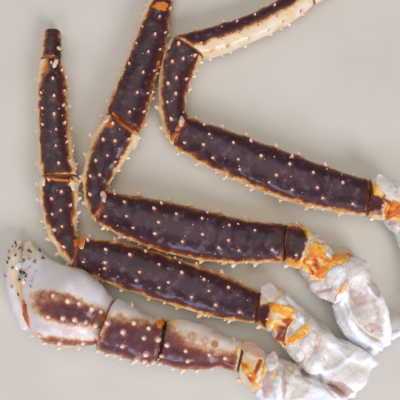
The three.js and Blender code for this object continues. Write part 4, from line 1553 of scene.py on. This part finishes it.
class NodeBook:
    """Adds nodes to one tree."""

    def __init__(self, tree: bpy.types.NodeTree) -> None:
        """Args: tree, the tree that the nodes go into."""
        self.tree = tree

    def add(self, kind: str, settings: dict[str, Any] | None = None,
            inputs: dict[Any, Any] | None = None) -> bpy.types.Node:
        """Adds a node.

        Args:
            kind: The node's type.
            settings: Its properties, a ramp's stops among them.
            inputs: Values or links of its inputs by name or number.

        Returns:
            The node.
        """
        node = self.tree.nodes.new(kind)
        for name, value in (settings or {}).items():
            if name == "stops":
                self._set_stops(node.color_ramp, value)
            else:
                setattr(node, name, value)
        for key, value in (inputs or {}).items():
            source = value.socket if isinstance(value, Term) else value
            if isinstance(source, bpy.types.NodeSocket):
                self.tree.links.new(source, node.inputs[key])
            else:
                node.inputs[key].default_value = source
        return node

    @staticmethod
    def _set_stops(ramp: bpy.types.ColorRamp, stops: Iterable[tuple[float, Any]]) -> None:
        """Gives a colour ramp its stops.

        Args:
            ramp: The ramp.
            stops: The place and the colour of each.
        """
        stops = list(stops)
        while len(ramp.elements) < len(stops):
            ramp.elements.new(0.5)
        for element, (place, colour) in zip(ramp.elements, stops):
            element.position, element.color = place, colour

    def term(self, kind: str, settings: dict[str, Any] | None = None,
             inputs: dict[Any, Any] | None = None, output: Any = 0) -> Term:
        """Args: as add, and the output wanted. Returns: that output's value."""
        return Term(self, self.add(kind, settings, inputs).outputs[output])


class Paint(NodeBook):
    """A material's nodes, with the patterns that the finishes share."""

    def __init__(self, name: str) -> None:
        """Starts a material.

        Args:
            name: Its name.
        """
        self.material = bpy.data.materials.new(name)
        self.material.use_nodes = True
        super().__init__(self.material.node_tree)
        self.tree.nodes.clear()
        output = self.add("ShaderNodeOutputMaterial")
        self.shader = self.add("ShaderNodeBsdfPrincipled")
        self.tree.links.new(self.shader.outputs[0], output.inputs["Surface"])
        place = self.term("ShaderNodeTexCoord", output="Object")
        scaled = {0: place, "Scale": 1 / MM}
        self.place = self.term("ShaderNodeVectorMath", {"operation": "SCALE"}, scaled)

    def number(self, name: str) -> Term:
        """Args: an attribute's name. Returns: its value."""
        return self.term("ShaderNodeAttribute", {"attribute_name": name}, output="Fac")

    def noise(self, size: float, shift: float = 0.0, detail: float = 2.0) -> Term:
        """Smooth noise.

        Args:
            size: The size of a typical feature in millimetres.
            shift: How far the pattern is moved, so that no two are alike.
            detail: How much finer noise it carries.

        Returns:
            A value from about -1 to 1.
        """
        moved = {0: self.place, 1: (shift, shift * 2, -shift)}
        place = self.term("ShaderNodeVectorMath", {"operation": "ADD"}, moved)
        pattern = {"Vector": place, "Scale": 1 / size, "Detail": detail, "Roughness": 0.55}
        return (self.term("ShaderNodeTexNoise", None, pattern) - 0.5) * 3

    def ramp(self, value: Any, stops: Iterable[tuple[float, str]]) -> Term:
        """Args: a value from 0 to 1, and tones with their places. Returns: the colour."""
        marks = [(place, colour_of(code)) for place, code in stops]
        return self.term("ShaderNodeValToRGB", {"stops": marks}, {"Fac": value})

    def mix(self, first: Any, second: Any, share: Any) -> Term:
        """Args: two colours and the share of the second. Returns: their mixture."""
        inputs = {0: share, 6: self._colour(first), 7: self._colour(second)}
        return self.term("ShaderNodeMix", {"data_type": "RGBA"}, inputs, 2)

    def flesh(self) -> Term:
        """Returns: The colour of the tone that the mesh carries."""
        place = self.number("tone") + self.noise(3.2, 41, 3) * 0.035 + self.noise(1.0, 19) * 0.015
        colour = self.ramp(place, TONE_RAMP)
        pale = place.rises(0.8, 0.95)
        colour = self.mix(colour, "d9d3e4", pale * self.noise(6, 29).rises(0.1, 1.1) * 0.4)
        return self.mix(colour, "e9dcc8", pale * self.noise(8, 37).rises(0.2, 1.1) * 0.35)

    @staticmethod
    def _colour(value: Any) -> Any:
        """Args: a tone's code or a term. Returns: a value that a socket takes."""
        return colour_of(value) if isinstance(value, str) else value

    def finish(self, colour: Any, roughness: Any, height: Any, **fixed: float) -> bpy.types.Material:
        """Wires the shader.

        Args:
            colour: The base colour.
            roughness: A number or a term.
            height: The relief in millimetres.
            fixed: Other values of the shader, by socket name with _ for a space.

        Returns:
            The material.
        """
        relief = {"Strength": 1.0, "Distance": MM, "Height": height}
        bump = self.term("ShaderNodeBump", None, relief, "Normal")
        wired = {"Base Color": self._colour(colour), "Roughness": roughness, "Normal": bump}
        for name, value in wired.items():
            if isinstance(value, Term):
                self.tree.links.new(value.socket, self.shader.inputs[name])
            else:
                self.shader.inputs[name].default_value = value
        for name, value in fixed.items():
            self.shader.inputs[name.replace("_", " ")].default_value = value
        return self.material


@dataclass(frozen=True)
class ShellFinish:
    """The finish of a shell: its pale ground, the ramp from its margin into its dark
    face by millimetres, and its gloss."""

    name: str
    ground: tuple[str, str]
    margin: tuple[tuple[float, str], ...]
    root: str = "d3a58c"
    halo: str = "7d3d2b"
    roughness: float = 0.36
    coat: float = 0.3
    sheen: float = 0.22
    subsurface: float = 0.0
    # strength of the painted sheen and bloom on a dark face, and of its pale flecks
    sheen_and_flecks: float = 0.42
    shade: float = 0.8

    def material(self) -> bpy.types.Material:
        """Returns: The finish as a material."""
        paint = Paint(self.name)
        broad, wander, fine = paint.noise(11, 3, 2), paint.noise(4.5, 7), paint.noise(1.3, 11)
        speck = paint.noise(0.8, 17, 3)
        ground = paint.mix(self.ground[0], self.ground[1], broad.rises(-0.6, 0.8))
        dark = paint.number("dark") + wander * 1.5 + fine * 0.7
        low, high = self.margin[0][0], self.margin[-1][0]
        stops = [((at - low) / (high - low), code) for at, code in self.margin]
        face = paint.ramp((dark - low) / (high - low), stops)
        colour = paint.mix(ground, face, dark.rises(low, low + 1.5))
        inside = dark.rises(1.5, 5)
        streak = paint.noise(7, 23, 4)
        # Patches on the dark face: painted sheen with a whitish bloom, two sizes of dark mottle, pale
        # flecks and rust
        colour = paint.mix(colour, "8d7b84", inside * streak.rises(0, 0.9) * self.sheen_and_flecks)
        colour = paint.mix(colour, "1c1014", inside * paint.noise(2.1, 61, 3).rises(0.2, 1.2) * 0.7)
        colour = paint.mix(colour, "1a1015", inside * paint.noise(10, 83, 3).rises(0, 0.7) * self.shade)
        colour = paint.mix(colour, "a98f93", inside * speck.rises(0.7, 1.3) * self.sheen_and_flecks * 1.5)
        colour = paint.mix(colour, "6a3a2c", inside * paint.noise(9, 51, 3).rises(0.3, 1.2) * 0.35)
        cover = paint.number("cover") + (wander * 0.12 + fine * 0.06)
        colour = paint.mix(colour, paint.flesh(), cover.rises(0.1, 0.9))
        colour = self._rooted(paint, colour, inside, fine)
        gloss = self.roughness + fine * 0.05 + streak.rises(0, 1.2) * 0.12
        relief = speck * 0.035 + fine * 0.07 + paint.noise(0.35, 31, 1) * 0.012
        return paint.finish(colour, gloss, relief, Coat_Weight=self.coat, Coat_Roughness=0.16,
                            Specular_IOR_Level=self.sheen, Subsurface_Weight=self.subsurface,
                            Subsurface_Scale=0.004)

    def _rooted(self, paint: Paint, colour: Term, inside: Term, fine: Term) -> Term:
        """Lays the roots of the spines and the rim over a colour.

        Args:
            paint: The material's nodes.
            colour: The colour so far.
            inside: How far a place counts as dark face.
            fine: Fine noise.

        Returns:
            The colour.
        """
        root = paint.number("root") + fine * 0.35
        colour = paint.mix(colour, self.halo, (1 - root.rises(0.2, 1.8)) * inside * 0.4)
        colour = paint.mix(colour, self.root, (1 - root.rises(-1.1, -0.1)) * 0.9)
        rim = paint.number("rim") + fine * 0.3
        patchy = paint.noise(5, 71).rises(-0.7, 0.6)
        return paint.mix(colour, "a85f27", (1 - rim.rises(0.8, 1.9)) * inside * patchy * 0.85)


# From the margin into the dark face, by millimetres; the deepest stop is lighter again, a painted sheen in
# the middle of a wide face
DARK_MARGIN = (
    (-5.0, "ead9bd"), (-2.4, "e2c290"), (-1.2, "c68c50"), (-0.3, "8f502b"),
    (0.8, "57281f"), (2.6, "421d20"), (5.0, "36181f"), (8.0, "361b24"), (14.0, "452b36"),
)
PALE_MARGIN = (
    (-5.0, "e4dedd"), (-2.4, "dfcab2"), (-0.9, "c09068"), (0.6, "92553e"),
    (2.2, "733a33"), (4.5, "582b30"), (8.0, "5c333b"),
)
FINISHES = {
    Slot.DARK: ShellFinish("dark_shell", ("e9d9bf", "dfc08c"), DARK_MARGIN),
    Slot.PALE: ShellFinish("pale_shell", ("dedade", "dacfc6"), PALE_MARGIN, roughness=0.3,
                            subsurface=0.08, sheen_and_flecks=0.2, shade=0.25),
}


@dataclass(frozen=True)
class SpineFinish:
    """Spines: reddish at the root, cream above and palest at the tip."""

    name: str = "spine_horn"

    def material(self) -> bpy.types.Material:
        """Returns: The finish as a material."""
        paint = Paint(self.name)
        tip = paint.number("tip") + paint.noise(1.2, 5) * 0.08
        inner = paint.ramp(tip, ((0.2, "84402e"), (0.42, "c78a6c"), (0.66, "e2c1ab"), (1.0, "f0ddd0")))
        outer = paint.ramp(tip, ((0.15, "c98a4a"), (0.4, "e3bb86"), (0.7, "ecd7bd"), (1.0, "f3e8dc")))
        colour = paint.mix(outer, inner, paint.number("shade").rises(0, 1))
        return paint.finish(colour, 0.32, paint.noise(0.5, 9) * 0.02, Coat_Weight=0.3,
                            Subsurface_Weight=0.15, Subsurface_Scale=0.002)


@dataclass(frozen=True)
class JointFinish:
    """The skin of a joint: orange and red-brown, darker in random patches."""

    name: str
    tones: tuple[str, str, str]

    def material(self) -> bpy.types.Material:
        """Returns: The finish as a material."""
        paint = Paint(self.name)
        place = 0.5 + 0.3 * paint.noise(2.6, 3, 3)
        colour = paint.ramp(place, tuple(zip((0.2, 0.5, 0.85), self.tones)))
        return paint.finish(colour, 0.4, paint.noise(0.9, 7) * 0.12, Coat_Weight=0.3)


JOINT_FINISHES = (
    JointFinish("joint_skin", ("43190f", "a04a1a", "dd9236")),
    JointFinish("hip_skin", ("1c0d0b", "4a2012", "b0642a")),
    # near-black skin in the claw's elbow gap: painted shade deep in the gap
    JointFinish("elbow_gap_shade", ("1a0e0c", "2a1512", "4a2417")),
)


@dataclass(frozen=True)
class BristleFinish:
    """Stiff dark hairs, browner at the root."""

    name: str = "bristle_hair"

    def material(self) -> bpy.types.Material:
        """Returns: The finish as a material."""
        paint = Paint(self.name)
        colour = paint.ramp(paint.number("tip"), ((0.0, "4a3322"), (0.4, "1c1411"), (1.0, "120e0d")))
        return paint.finish(colour, 0.5, paint.noise(0.6, 3) * 0.01)


@dataclass(frozen=True)
class FloorFinish:
    """A pale matt board with a faint mottle."""

    name: str = "floor_board"

    def material(self) -> bpy.types.Material:
        """Returns: The finish as a material."""
        paint = Paint(self.name)
        colour = paint.mix("d4cec2", "ccc6b9", paint.noise(60, 3, 3).rises(-1, 1))
        return paint.finish(colour, 0.7, paint.noise(1.5, 5) * 0.02)


# What a growth's node tree takes, and the kind of each
GROWTH_INPUTS = {
    "Sides": "Int", "Rings": "Int", "Taper": "Float", "Bend": "Float", "Spread": "Float", "Seed": "Int",
}


@dataclass
class Growth:
    """What stands on a shell in numbers: every spine, or every bristle, of one piece,
    each grown from its own point by a node tree."""

    name: str
    sides: int = 10
    rings: int = 7
    taper: float = 0.6
    bend: float = 0.2
    spread: float = 0.06
    seed: int = 7
    rooted: bool = False

    def tree(self) -> bpy.types.NodeTree:
        """Returns: The node tree that turns points into tapered, bent cones."""
        tree = bpy.data.node_groups.new(self.name, "GeometryNodeTree")
        interface = tree.interface
        interface.new_socket("Points", in_out="INPUT", socket_type="NodeSocketGeometry")
        for name, kind in GROWTH_INPUTS.items():
            interface.new_socket(name, in_out="INPUT", socket_type=f"NodeSocket{kind}")
        interface.new_socket("Grown", in_out="OUTPUT", socket_type="NodeSocketGeometry")
        book = NodeBook(tree)
        inputs = book.add("NodeGroupInput").outputs
        given = {socket.name: Term(book, socket) for socket in inputs if socket.name}
        cone = book.term("GeometryNodeMeshCone", {"fill_type": "NGON"}, {
            "Vertices": given["Sides"], "Side Segments": given["Rings"], "Fill Segments": 1,
            "Radius Top": 0.0, "Radius Bottom": 1.0, "Depth": 1.0})
        place = book.term("GeometryNodeInputPosition")
        parts = book.add("ShaderNodeSeparateXYZ", None, {0: place})
        x, y, z = (Term(book, socket) for socket in parts.outputs)
        left = (1 - z).at_least(0.001)
        widen = left ** (given["Taper"] - 1)
        bent = book.term("ShaderNodeCombineXYZ", None,
                         {0: x * widen + given["Bend"] * z * z, 1: y * widen, 2: z})
        shaped = book.term("GeometryNodeSetPosition", None, {"Geometry": cone, "Position": bent})
        marked = book.term("GeometryNodeStoreNamedAttribute", {"data_type": "FLOAT", "domain": "POINT"},
                           {"Geometry": shaped, "Name": "tip", "Value": z})
        aim, onward, sizes = (
            book.term("GeometryNodeInputNamedAttribute", {"data_type": "FLOAT_VECTOR"}, {"Name": name})
            for name in ("aim", "onward", "sizes"))
        turn = book.term("FunctionNodeAxesToRotation", {"primary_axis": "Z", "secondary_axis": "X"},
                         {0: aim, 1: onward})
        vary = book.term("FunctionNodeRandomValue", {"data_type": "FLOAT"},
                         {2: 1 - given["Spread"], 3: 1 + given["Spread"], "Seed": given["Seed"]}, 1)
        size = book.term("ShaderNodeVectorMath", {"operation": "SCALE"}, {0: sizes, "Scale": vary})
        grown = book.term("GeometryNodeInstanceOnPoints", None, {
            "Points": given["Points"], "Instance": marked, "Rotation": turn, "Scale": size})
        real = book.term("GeometryNodeRealizeInstances", None, {"Geometry": grown})
        smooth = book.term("GeometryNodeSetShadeSmooth", None, {"Geometry": real})
        book.add("NodeGroupOutput", None, {0: smooth})
        return tree

    def grow(self, spines: list[Spine]) -> bpy.types.Mesh:
        """Grows the spines as one mesh.

        Args:
            spines: Their places and sizes.

        Returns:
            The mesh.
        """
        feet = np.array([spine.foot - spine.aim * SPINE_SUNK for spine in spines]) * MM
        carrier_mesh = bpy.data.meshes.new(self.name + "_feet")
        carrier_mesh.vertices.add(len(spines))
        carrier_mesh.vertices.foreach_set("co", feet.astype(np.float32).ravel())
        sizes = [(s.radius * s.flat, s.radius, s.height + SPINE_SUNK) for s in spines]
        for name, values in (("aim", [s.aim for s in spines]), ("onward", [s.onward for s in spines]),
                             ("sizes", np.array(sizes) * MM), ("root", [s.root for s in spines])):
            layer = carrier_mesh.attributes.new(name, "FLOAT_VECTOR", "POINT")
            layer.data.foreach_set("vector", np.asarray(values, np.float32).ravel())
        add_attribute(carrier_mesh, "shade", np.array([s.shade for s in spines]))
        carrier = bpy.data.objects.new(self.name + "_feet", carrier_mesh)
        bpy.context.scene.collection.objects.link(carrier)
        modifier = carrier.modifiers.new("Growth", "NODES")
        tree = self.tree()
        modifier.node_group = tree
        for item in tree.interface.items_tree:
            if item.in_out == "INPUT" and item.name in GROWTH_INPUTS:
                modifier[item.identifier] = getattr(self, item.name.lower())
        graph = bpy.context.evaluated_depsgraph_get()
        mesh = bpy.data.meshes.new_from_object(carrier.evaluated_get(graph))
        mesh.name = self.name
        mesh.materials.clear()
        carrier.modifiers.remove(modifier)
        bpy.data.objects.remove(carrier)
        if self.rooted:
            self._unwrap(mesh)
        for name in ("aim", "onward", "sizes", "root"):
            if name in mesh.attributes:
                mesh.attributes.remove(mesh.attributes[name])
        return mesh

    @staticmethod
    def _unwrap(mesh: bpy.types.Mesh) -> None:
        """Gives each hair a patch at its root's place on the shell's unwrap.

        Args:
            mesh: The grown hairs.
        """
        roots = np.empty(len(mesh.vertices) * 3, np.float32)
        mesh.attributes["root"].data.foreach_get("vector", roots)
        turns = GOLDEN_TURN * np.arange(len(mesh.vertices))
        around = np.c_[np.cos(turns), np.sin(turns)] * PATCH_RADIUS
        corners = np.empty(len(mesh.loops), np.int32)
        mesh.loops.foreach_get("vertex_index", corners)
        layer = mesh.uv_layers.new(name="OFBake")
        places = (roots.reshape(-1, 3)[:, :2] + around)[corners]
        layer.data.foreach_set("uv", places.astype(np.float32).ravel())


@dataclass(frozen=True)
class Tuft:
    """A tuft of bristles: its share of the length and its angle around the shell."""

    share: float
    around: float
    hairs: int = 16


PALM_TUFTS = (
    Tuft(0.9, 101), Tuft(0.84, 76), Tuft(0.77, 140), Tuft(0.78, 107), Tuft(0.82, 57),
    Tuft(0.77, 58, 24), Tuft(0.75, 67, 24), Tuft(0.72, 74, 20), Tuft(0.74, 39), Tuft(0.7, 63),
    Tuft(0.63, 78, 9), Tuft(0.87, -30), Tuft(0.8, -80), Tuft(0.74, -120), Tuft(0.86, 170),
    Tuft(0.88, 110, 6), Tuft(0.83, 95, 6), Tuft(0.76, 85, 6), Tuft(0.7, 98, 5), Tuft(0.66, 85, 5),
)
FINGER_TUFTS = (
    Tuft(0.88, -7), Tuft(0.88, 134), Tuft(0.83, 8), Tuft(0.79, 108), Tuft(0.76, 70),
    Tuft(0.66, 99), Tuft(0.63, -13), Tuft(0.68, 157), Tuft(0.6, 157, 24), Tuft(0.52, 132),
    Tuft(0.46, 89, 9), Tuft(0.37, 112, 9), Tuft(0.8, -60), Tuft(0.7, -100), Tuft(0.85, -140),
    Tuft(0.93, 60, 8), Tuft(0.9, 90, 8), Tuft(0.72, 60, 10), Tuft(0.58, 50, 8),
)


def bristles_of(segment: Segment, tufts: tuple[Tuft, ...]) -> list[Spine]:
    """The hairs of some tufts.

    Args:
        segment: The segment that they stand on.
        tufts: The tufts.

    Returns:
        A thin spine for each hair.
    """
    rng = np.random.default_rng(segment.seed + HAIR_SEED)
    found = []
    for tuft in tufts:
        comb = rng.uniform(*HAIR_COMB)
        for _ in range(tuft.hairs):
            share = tuft.share + rng.normal() * HAIR_SPREAD / segment.length
            around = math.radians(tuft.around + rng.normal() * HAIR_ARC)
            foot, outward, onward = segment.basis(min(share, LAST_HAIR), around)
            aim = outward + onward * comb + rng.normal(size=3) * HAIR_STRAY
            aim /= np.linalg.norm(aim)
            height = rng.uniform(*HAIR_HEIGHTS)
            if foot[2] + aim[2] * height < FLOOR_CLEARANCE:
                aim = aim * (1, 1, 0) + (0, 0, HAIR_LIFT)
                aim /= np.linalg.norm(aim)
            root = (tuft.around / 360 % 1, tuft.share, 0.0)
            found.append(Spine(foot, aim, onward, height, HAIR_RADIUS, root=root))
    return found


def heights_at(ground: BVHTree, places: np.ndarray) -> np.ndarray:
    """How high the shells are.

    Args:
        ground: The surface of the shells.
        places: Places in plan, in millimetres.

    Returns:
        The height at each place, or nan where no shell is.
    """
    hits = [ground.ray_cast(Vector((x * MM, y * MM, PROBE_TOP)), Vector((0, 0, -1)))[0] for x, y in places]
    return np.array([hit.z / MM if hit else math.nan for hit in hits])


def plane_under(lump: Lump, ground: BVHTree) -> tuple[np.ndarray, np.ndarray, np.ndarray]:
    """The slope that a lump stands on.

    Args:
        lump: The lump.
        ground: The surface of the shells.

    Returns:
        Its outline, its middle, and the height and the two slopes there.
    """
    outline = lump.outline()
    middle = outline.mean(0)
    probes = np.concatenate([[middle], middle + PROBE_SHARE * (outline[::6] - middle)])
    levels = heights_at(ground, probes)
    seen = ~np.isnan(levels)
    plane = np.zeros(3)
    if seen.sum() > 4:
        sides = np.c_[np.ones(seen.sum()), probes[seen] - middle]
        plane = np.linalg.lstsq(sides, levels[seen], rcond=None)[0]
    else:
        plane[0] = levels[seen].mean() if seen.any() else LEVEL
    plane[1:] = np.clip(plane[1:], -STEEPEST, STEEPEST)
    return outline, middle, plane


def lump_grid(lump: Lump, ground: BVHTree) -> np.ndarray:
    """The rings of a lump, draped over the shells.

    Args:
        lump: The lump.
        ground: The surface of the shells.

    Returns:
        Points in millimetres by ring and by column.
    """
    outline, middle, plane = plane_under(lump, ground)
    rings = []
    for turn in LUMP_TURNS:
        places = middle + (outline - middle) * math.cos(turn) ** lump.edge
        flat = plane[0] + (places - middle) @ plane[1:]
        local = heights_at(ground, places)
        level = np.maximum(np.where(np.isnan(local), flat, local), flat - lump.high)
        rise = math.sin(turn) if turn > 0 else LUMP_FOOT * math.sin(turn)
        rings.append(np.c_[places, (level + flat) / 2 + lump.high * (rise - LUMP_SUNK)])
    grid = np.stack(rings)
    seed = int(abs(middle[0]) * 7 + abs(middle[1]) * 3)
    (broad, deep), (small, shallow) = LUMP_WAVES
    relief = ripple(grid, broad, seed) * deep * lump.high + ripple(grid, small, seed) * shallow
    grid = grid + normals_of(grid) * relief[..., None]
    grid[..., 2] = np.maximum(grid[..., 2], 0.1)
    return grid


def level_tones(grid: np.ndarray, base: Tone) -> np.ndarray:
    """Args: a grid and the tone below. Returns: its tones, as if it all faced upward."""
    return painted(grid, np.zeros(grid.shape) + (0, 0, 1), base)[0]


def lump_tones(lump: Lump, grid: np.ndarray) -> np.ndarray:
    """The tones of a lump, those of the ground low down.

    Args:
        lump: The lump.
        grid: Its rings.

    Returns:
        A tone for each point.
    """
    share = np.clip((np.sin(LUMP_TURNS) - TONE_FOOT) / TONE_SPAN, 0, 1)[:, None]
    ground = level_tones(grid, lump.foot)
    return ground + (lump.tone.value - ground) * (TONE_LEAST + (1 - TONE_LEAST) * share)


@dataclass(frozen=True)
class FleshFinish:
    """Wet skin and flesh, from brown and orange to cream and white by the mesh's tone."""

    name: str
    roughness: float = 0.42
    coat: float = 0.12

    def material(self) -> bpy.types.Material:
        """Returns: The finish as a material."""
        paint = Paint(self.name)
        relief = paint.noise(3, 7, 3) * 0.1 + paint.noise(1.1, 7) * 0.05 + paint.noise(0.4, 9) * 0.015
        gloss = self.roughness + paint.noise(2.5, 43) * 0.05
        return paint.finish(paint.flesh(), gloss, relief, Coat_Weight=self.coat, Coat_Roughness=0.3,
                            Subsurface_Weight=0.15, Subsurface_Scale=0.003)


@dataclass
class CrabSection:
    """The claw and the legs, from their solids to their finished pieces."""

    limbs: list[Limb] = field(default_factory=build_limbs)
    finger: Segment = field(default_factory=build_finger)
    strap: Segment = field(default_factory=build_strap)
    finishes: dict[Slot, bpy.types.Material] = field(default_factory=dict)
    joint_finishes: dict[str, bpy.types.Material] = field(default_factory=dict)
    shells: list[bpy.types.Mesh] = field(default_factory=list)

    def build(self) -> None:
        """Builds every piece."""
        self.finishes = {slot: finish.material() for slot, finish in FINISHES.items()}
        self.finishes[Slot.SKIN] = FleshFinish("shoulder_skin").material()
        self.finishes[Slot.ORANGE] = FleshFinish("joint_lumps", 0.3, 0.3).material()
        self.joint_finishes = {finish.name: finish.material() for finish in JOINT_FINISHES}
        horn = SpineFinish().material()
        for limb in self.limbs:
            self.add_skin(limb)
            spines = self.add_shells(segment for segment in limb.segments if segment.kind not in FLESHY)
            if spines:
                nodes = [segment.name for segment in limb.segments if segment.rows]
                name = f"{limb.name}_spines"
                add_piece(name, Growth(name).grow(spines), horn, nodes)
            self.add_joint_skins(limb)
        self.add_shells((self.finger,))
        self.add_strap()
        self.add_lumps()
        self.add_bristles()

    def add_skin(self, limb: Limb) -> None:
        """Adds one skin over the inner segments of a limb.

        Args:
            limb: The limb.
        """
        segments = [segment for segment in limb.segments if segment.kind in FLESHY]
        name = f"{limb.name}_skin"
        mesh = LimbSkin(segments).build(name)
        add_piece(name, mesh, self.finishes[Slot.SKIN], [segment.name for segment in segments])
        self.shells.append(mesh)

    def add_lumps(self) -> None:
        """Adds the lumps and plates, one piece for each limb."""
        ground = BVHTree.FromPolygons(
            [v.co for mesh in self.shells for v in mesh.vertices], self.shell_corners())
        for limb in self.limbs:
            lumps = [lump for lump in LUMPS if lump.limb == limb.name]
            name = f"{limb.name}_lumps"
            grids = [lump_grid(lump, ground) for lump in lumps]
            mesh = loft_mesh(name, grids)
            tones = [lump_tones(*pair) for pair in zip(lumps, grids)]
            parts = [np.append(values, [values[0].mean(), values[-1].mean()]) for values in tones]
            add_attribute(mesh, "tone", np.concatenate(parts))
            nodes = [segment.name for segment in limb.segments[1:] + limb.segments[:1]]
            nodes += [self.finger.name] if limb.name == "claw" else []
            add_piece(name, mesh, self.finishes[Slot.ORANGE], nodes)

    def shell_corners(self) -> list[list[int]]:
        """Returns: The corner numbers of every shell's faces, counted through."""
        corners, count = [], 0
        for mesh in self.shells:
            corners += [[count + v for v in face.vertices] for face in mesh.polygons]
            count += len(mesh.vertices)
        return corners

    def add_shells(self, segments: Iterable[Segment]) -> list[Spine]:
        """Adds the shells of some segments.

        Args:
            segments: The segments.

        Returns:
            The spines and granules that stand on them.
        """
        grown = []
        for segment in segments:
            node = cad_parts[segment.name].data
            faces = [face.vertices for face in node.polygons]
            solid = BVHTree.FromPolygons([v.co for v in node.vertices], faces)
            spines = spines_of(segment, solid)
            shell = Shell(segment, spines).build()
            finish = self.finishes[segment.slot]
            add_piece(f"{segment.name}_shell", shell, finish, [segment.name])
            self.shells.append(shell)
            grown += spines + granules_of(segment)
        return grown

    def add_strap(self) -> None:
        """Adds the strap of skin, which the third leg's shoulder node holds."""
        mesh = LimbSkin([self.strap], tear=0.3, hollow=0.5).build("strap")
        add_piece("shoulder_strap", mesh, self.finishes[Slot.SKIN], ["leg3_shoulder"])

    def add_joint_skins(self, limb: Limb) -> None:
        """Adds the skins that show between the shells of a limb.

        Args:
            limb: The limb.
        """
        for inner, outer in zip(limb.segments[:-1], limb.segments[1:]):
            if outer.kind in FLESHY:
                continue
            hip = inner.kind in FLESHY
            name = f"{limb.name}_{inner.kind.label}_joint_skin"
            if hip:
                finish, fullness = self.finishes[Slot.SKIN], 0.995
            elif limb.name == "claw" and inner.kind is MERUS:
                # the elbow's gap gets near-black skin, painted shade
                finish, fullness = self.joint_finishes["elbow_gap_shade"], 0.9
            else:
                label = "hip_skin" if inner.kind is ISCHIUM else "joint_skin"
                finish, fullness = self.joint_finishes[label], 0.93
            skin = JointSkin(inner, outer, fullness=fullness)
            mesh = skin.build(name)
            if hip:
                add_grid_attribute(mesh, "tone", level_tones(skin.grid(), Tone.PEACH))
            add_piece(name, mesh, finish, [inner.name, outer.name])

    def add_bristles(self) -> None:
        """Adds the tufts of hair on both fingers of the claw."""
        finish = BristleFinish().material()
        palm = self.limbs[-1].segments[-1]
        for segment, tufts in ((palm, PALM_TUFTS), (self.finger, FINGER_TUFTS)):
            name = f"{segment.name}_bristles"
            growth = Growth(name, sides=5, rings=4, taper=0.7, bend=1.2, spread=0.15, rooted=True)
            add_piece(name, growth.grow(bristles_of(segment, tufts)), finish, [segment.name])


@dataclass(frozen=True)
class Softbox:
    """A soft light: where it stands, what it points at, its size, power and tint."""

    name: str
    place: tuple[float, float, float]
    size: float
    power: float
    tint: str

    def add(self, target: Vector) -> None:
        """Adds the light.

        Args:
            target: The point that it lights.
        """
        light = bpy.data.lights.new(self.name, "AREA")
        light.shape, light.size, light.energy = "DISK", self.size, self.power
        light.color = colour_of(self.tint)[:3]
        lamp = bpy.data.objects.new(self.name, light)
        lamp.location = self.place
        lamp.rotation_euler = (target - Vector(self.place)).to_track_quat("-Z", "Y").to_euler()
        bpy.context.scene.collection.objects.link(lamp)


@dataclass(frozen=True)
class Studio:
    """The floor, the lights and the camera."""

    tilt: float = 7.0
    distance: float = 0.547
    lens: float = 60.0
    aim: tuple[float, float] = (-0.0229, -0.0286)
    floor_size: float = 12.0
    lit: tuple[float, float, float] = (0.0, 0.0, 0.02)
    surround: str = "f4f4f8"
    glow: float = 0.33
    lights: tuple[Softbox, ...] = (
        Softbox("window", (1.5, -2.3, 1.7), 1.4, 66, "eef2ff"),
        Softbox("ceiling", (-0.2, 0.5, 2.6), 2.6, 22, "fff6ec"),
        Softbox("fill", (-2.2, 1, 1.6), 2.0, 10, "ffffff"),
        Softbox("sky", (-0.6, -2.4, 1.5), 0.9, 24, "dcdcff"),
    )

    def build(self) -> None:
        """Adds everything around the object."""
        half = self.floor_size / 2
        corners = np.array([(-half, -half, 0), (half, -half, 0), (half, half, 0), (-half, half, 0)])
        mesh = mesh_from("floor", corners, np.array([[0, 1, 2, 3]]), np.zeros((0, 3), int))
        mesh.materials.append(FloorFinish().material())
        floor = bpy.data.objects.new("floor", mesh)
        bpy.context.scene.collection.objects.link(floor)
        for light in self.lights:
            light.add(Vector(self.lit))
        self.add_world()
        self.add_camera()

    def add_world(self) -> None:
        """Sets an even pale surround and plain colour handling."""
        world = bpy.data.worlds.new("surround")
        world.use_nodes = True
        background = world.node_tree.nodes["Background"]
        background.inputs["Color"].default_value = colour_of(self.surround)
        background.inputs["Strength"].default_value = self.glow
        scene = bpy.context.scene
        scene.world = world
        scene.view_settings.view_transform = "Standard"

    def add_camera(self) -> None:
        """Adds the camera, almost straight above the section."""
        tilt = math.radians(self.tilt)
        camera = bpy.data.cameras.new("camera")
        camera.lens, camera.sensor_width = self.lens, 36
        camera.clip_start, camera.clip_end = 0.01, 20
        holder = bpy.data.objects.new("camera", camera)
        x, y = self.aim
        holder.location = (x, y - self.distance * math.sin(tilt), self.distance * math.cos(tilt))
        holder.rotation_euler = (tilt, 0, 0)
        bpy.context.scene.collection.objects.link(holder)
        bpy.context.scene.camera = holder


def main() -> None:
    """Builds the section and the studio."""
    logging.basicConfig(level=logging.INFO, format="%(name)s %(message)s")
    CrabSection().build()
    Studio().build()
    bpy.context.view_layer.update()


if __name__ == "__main__":
    main()
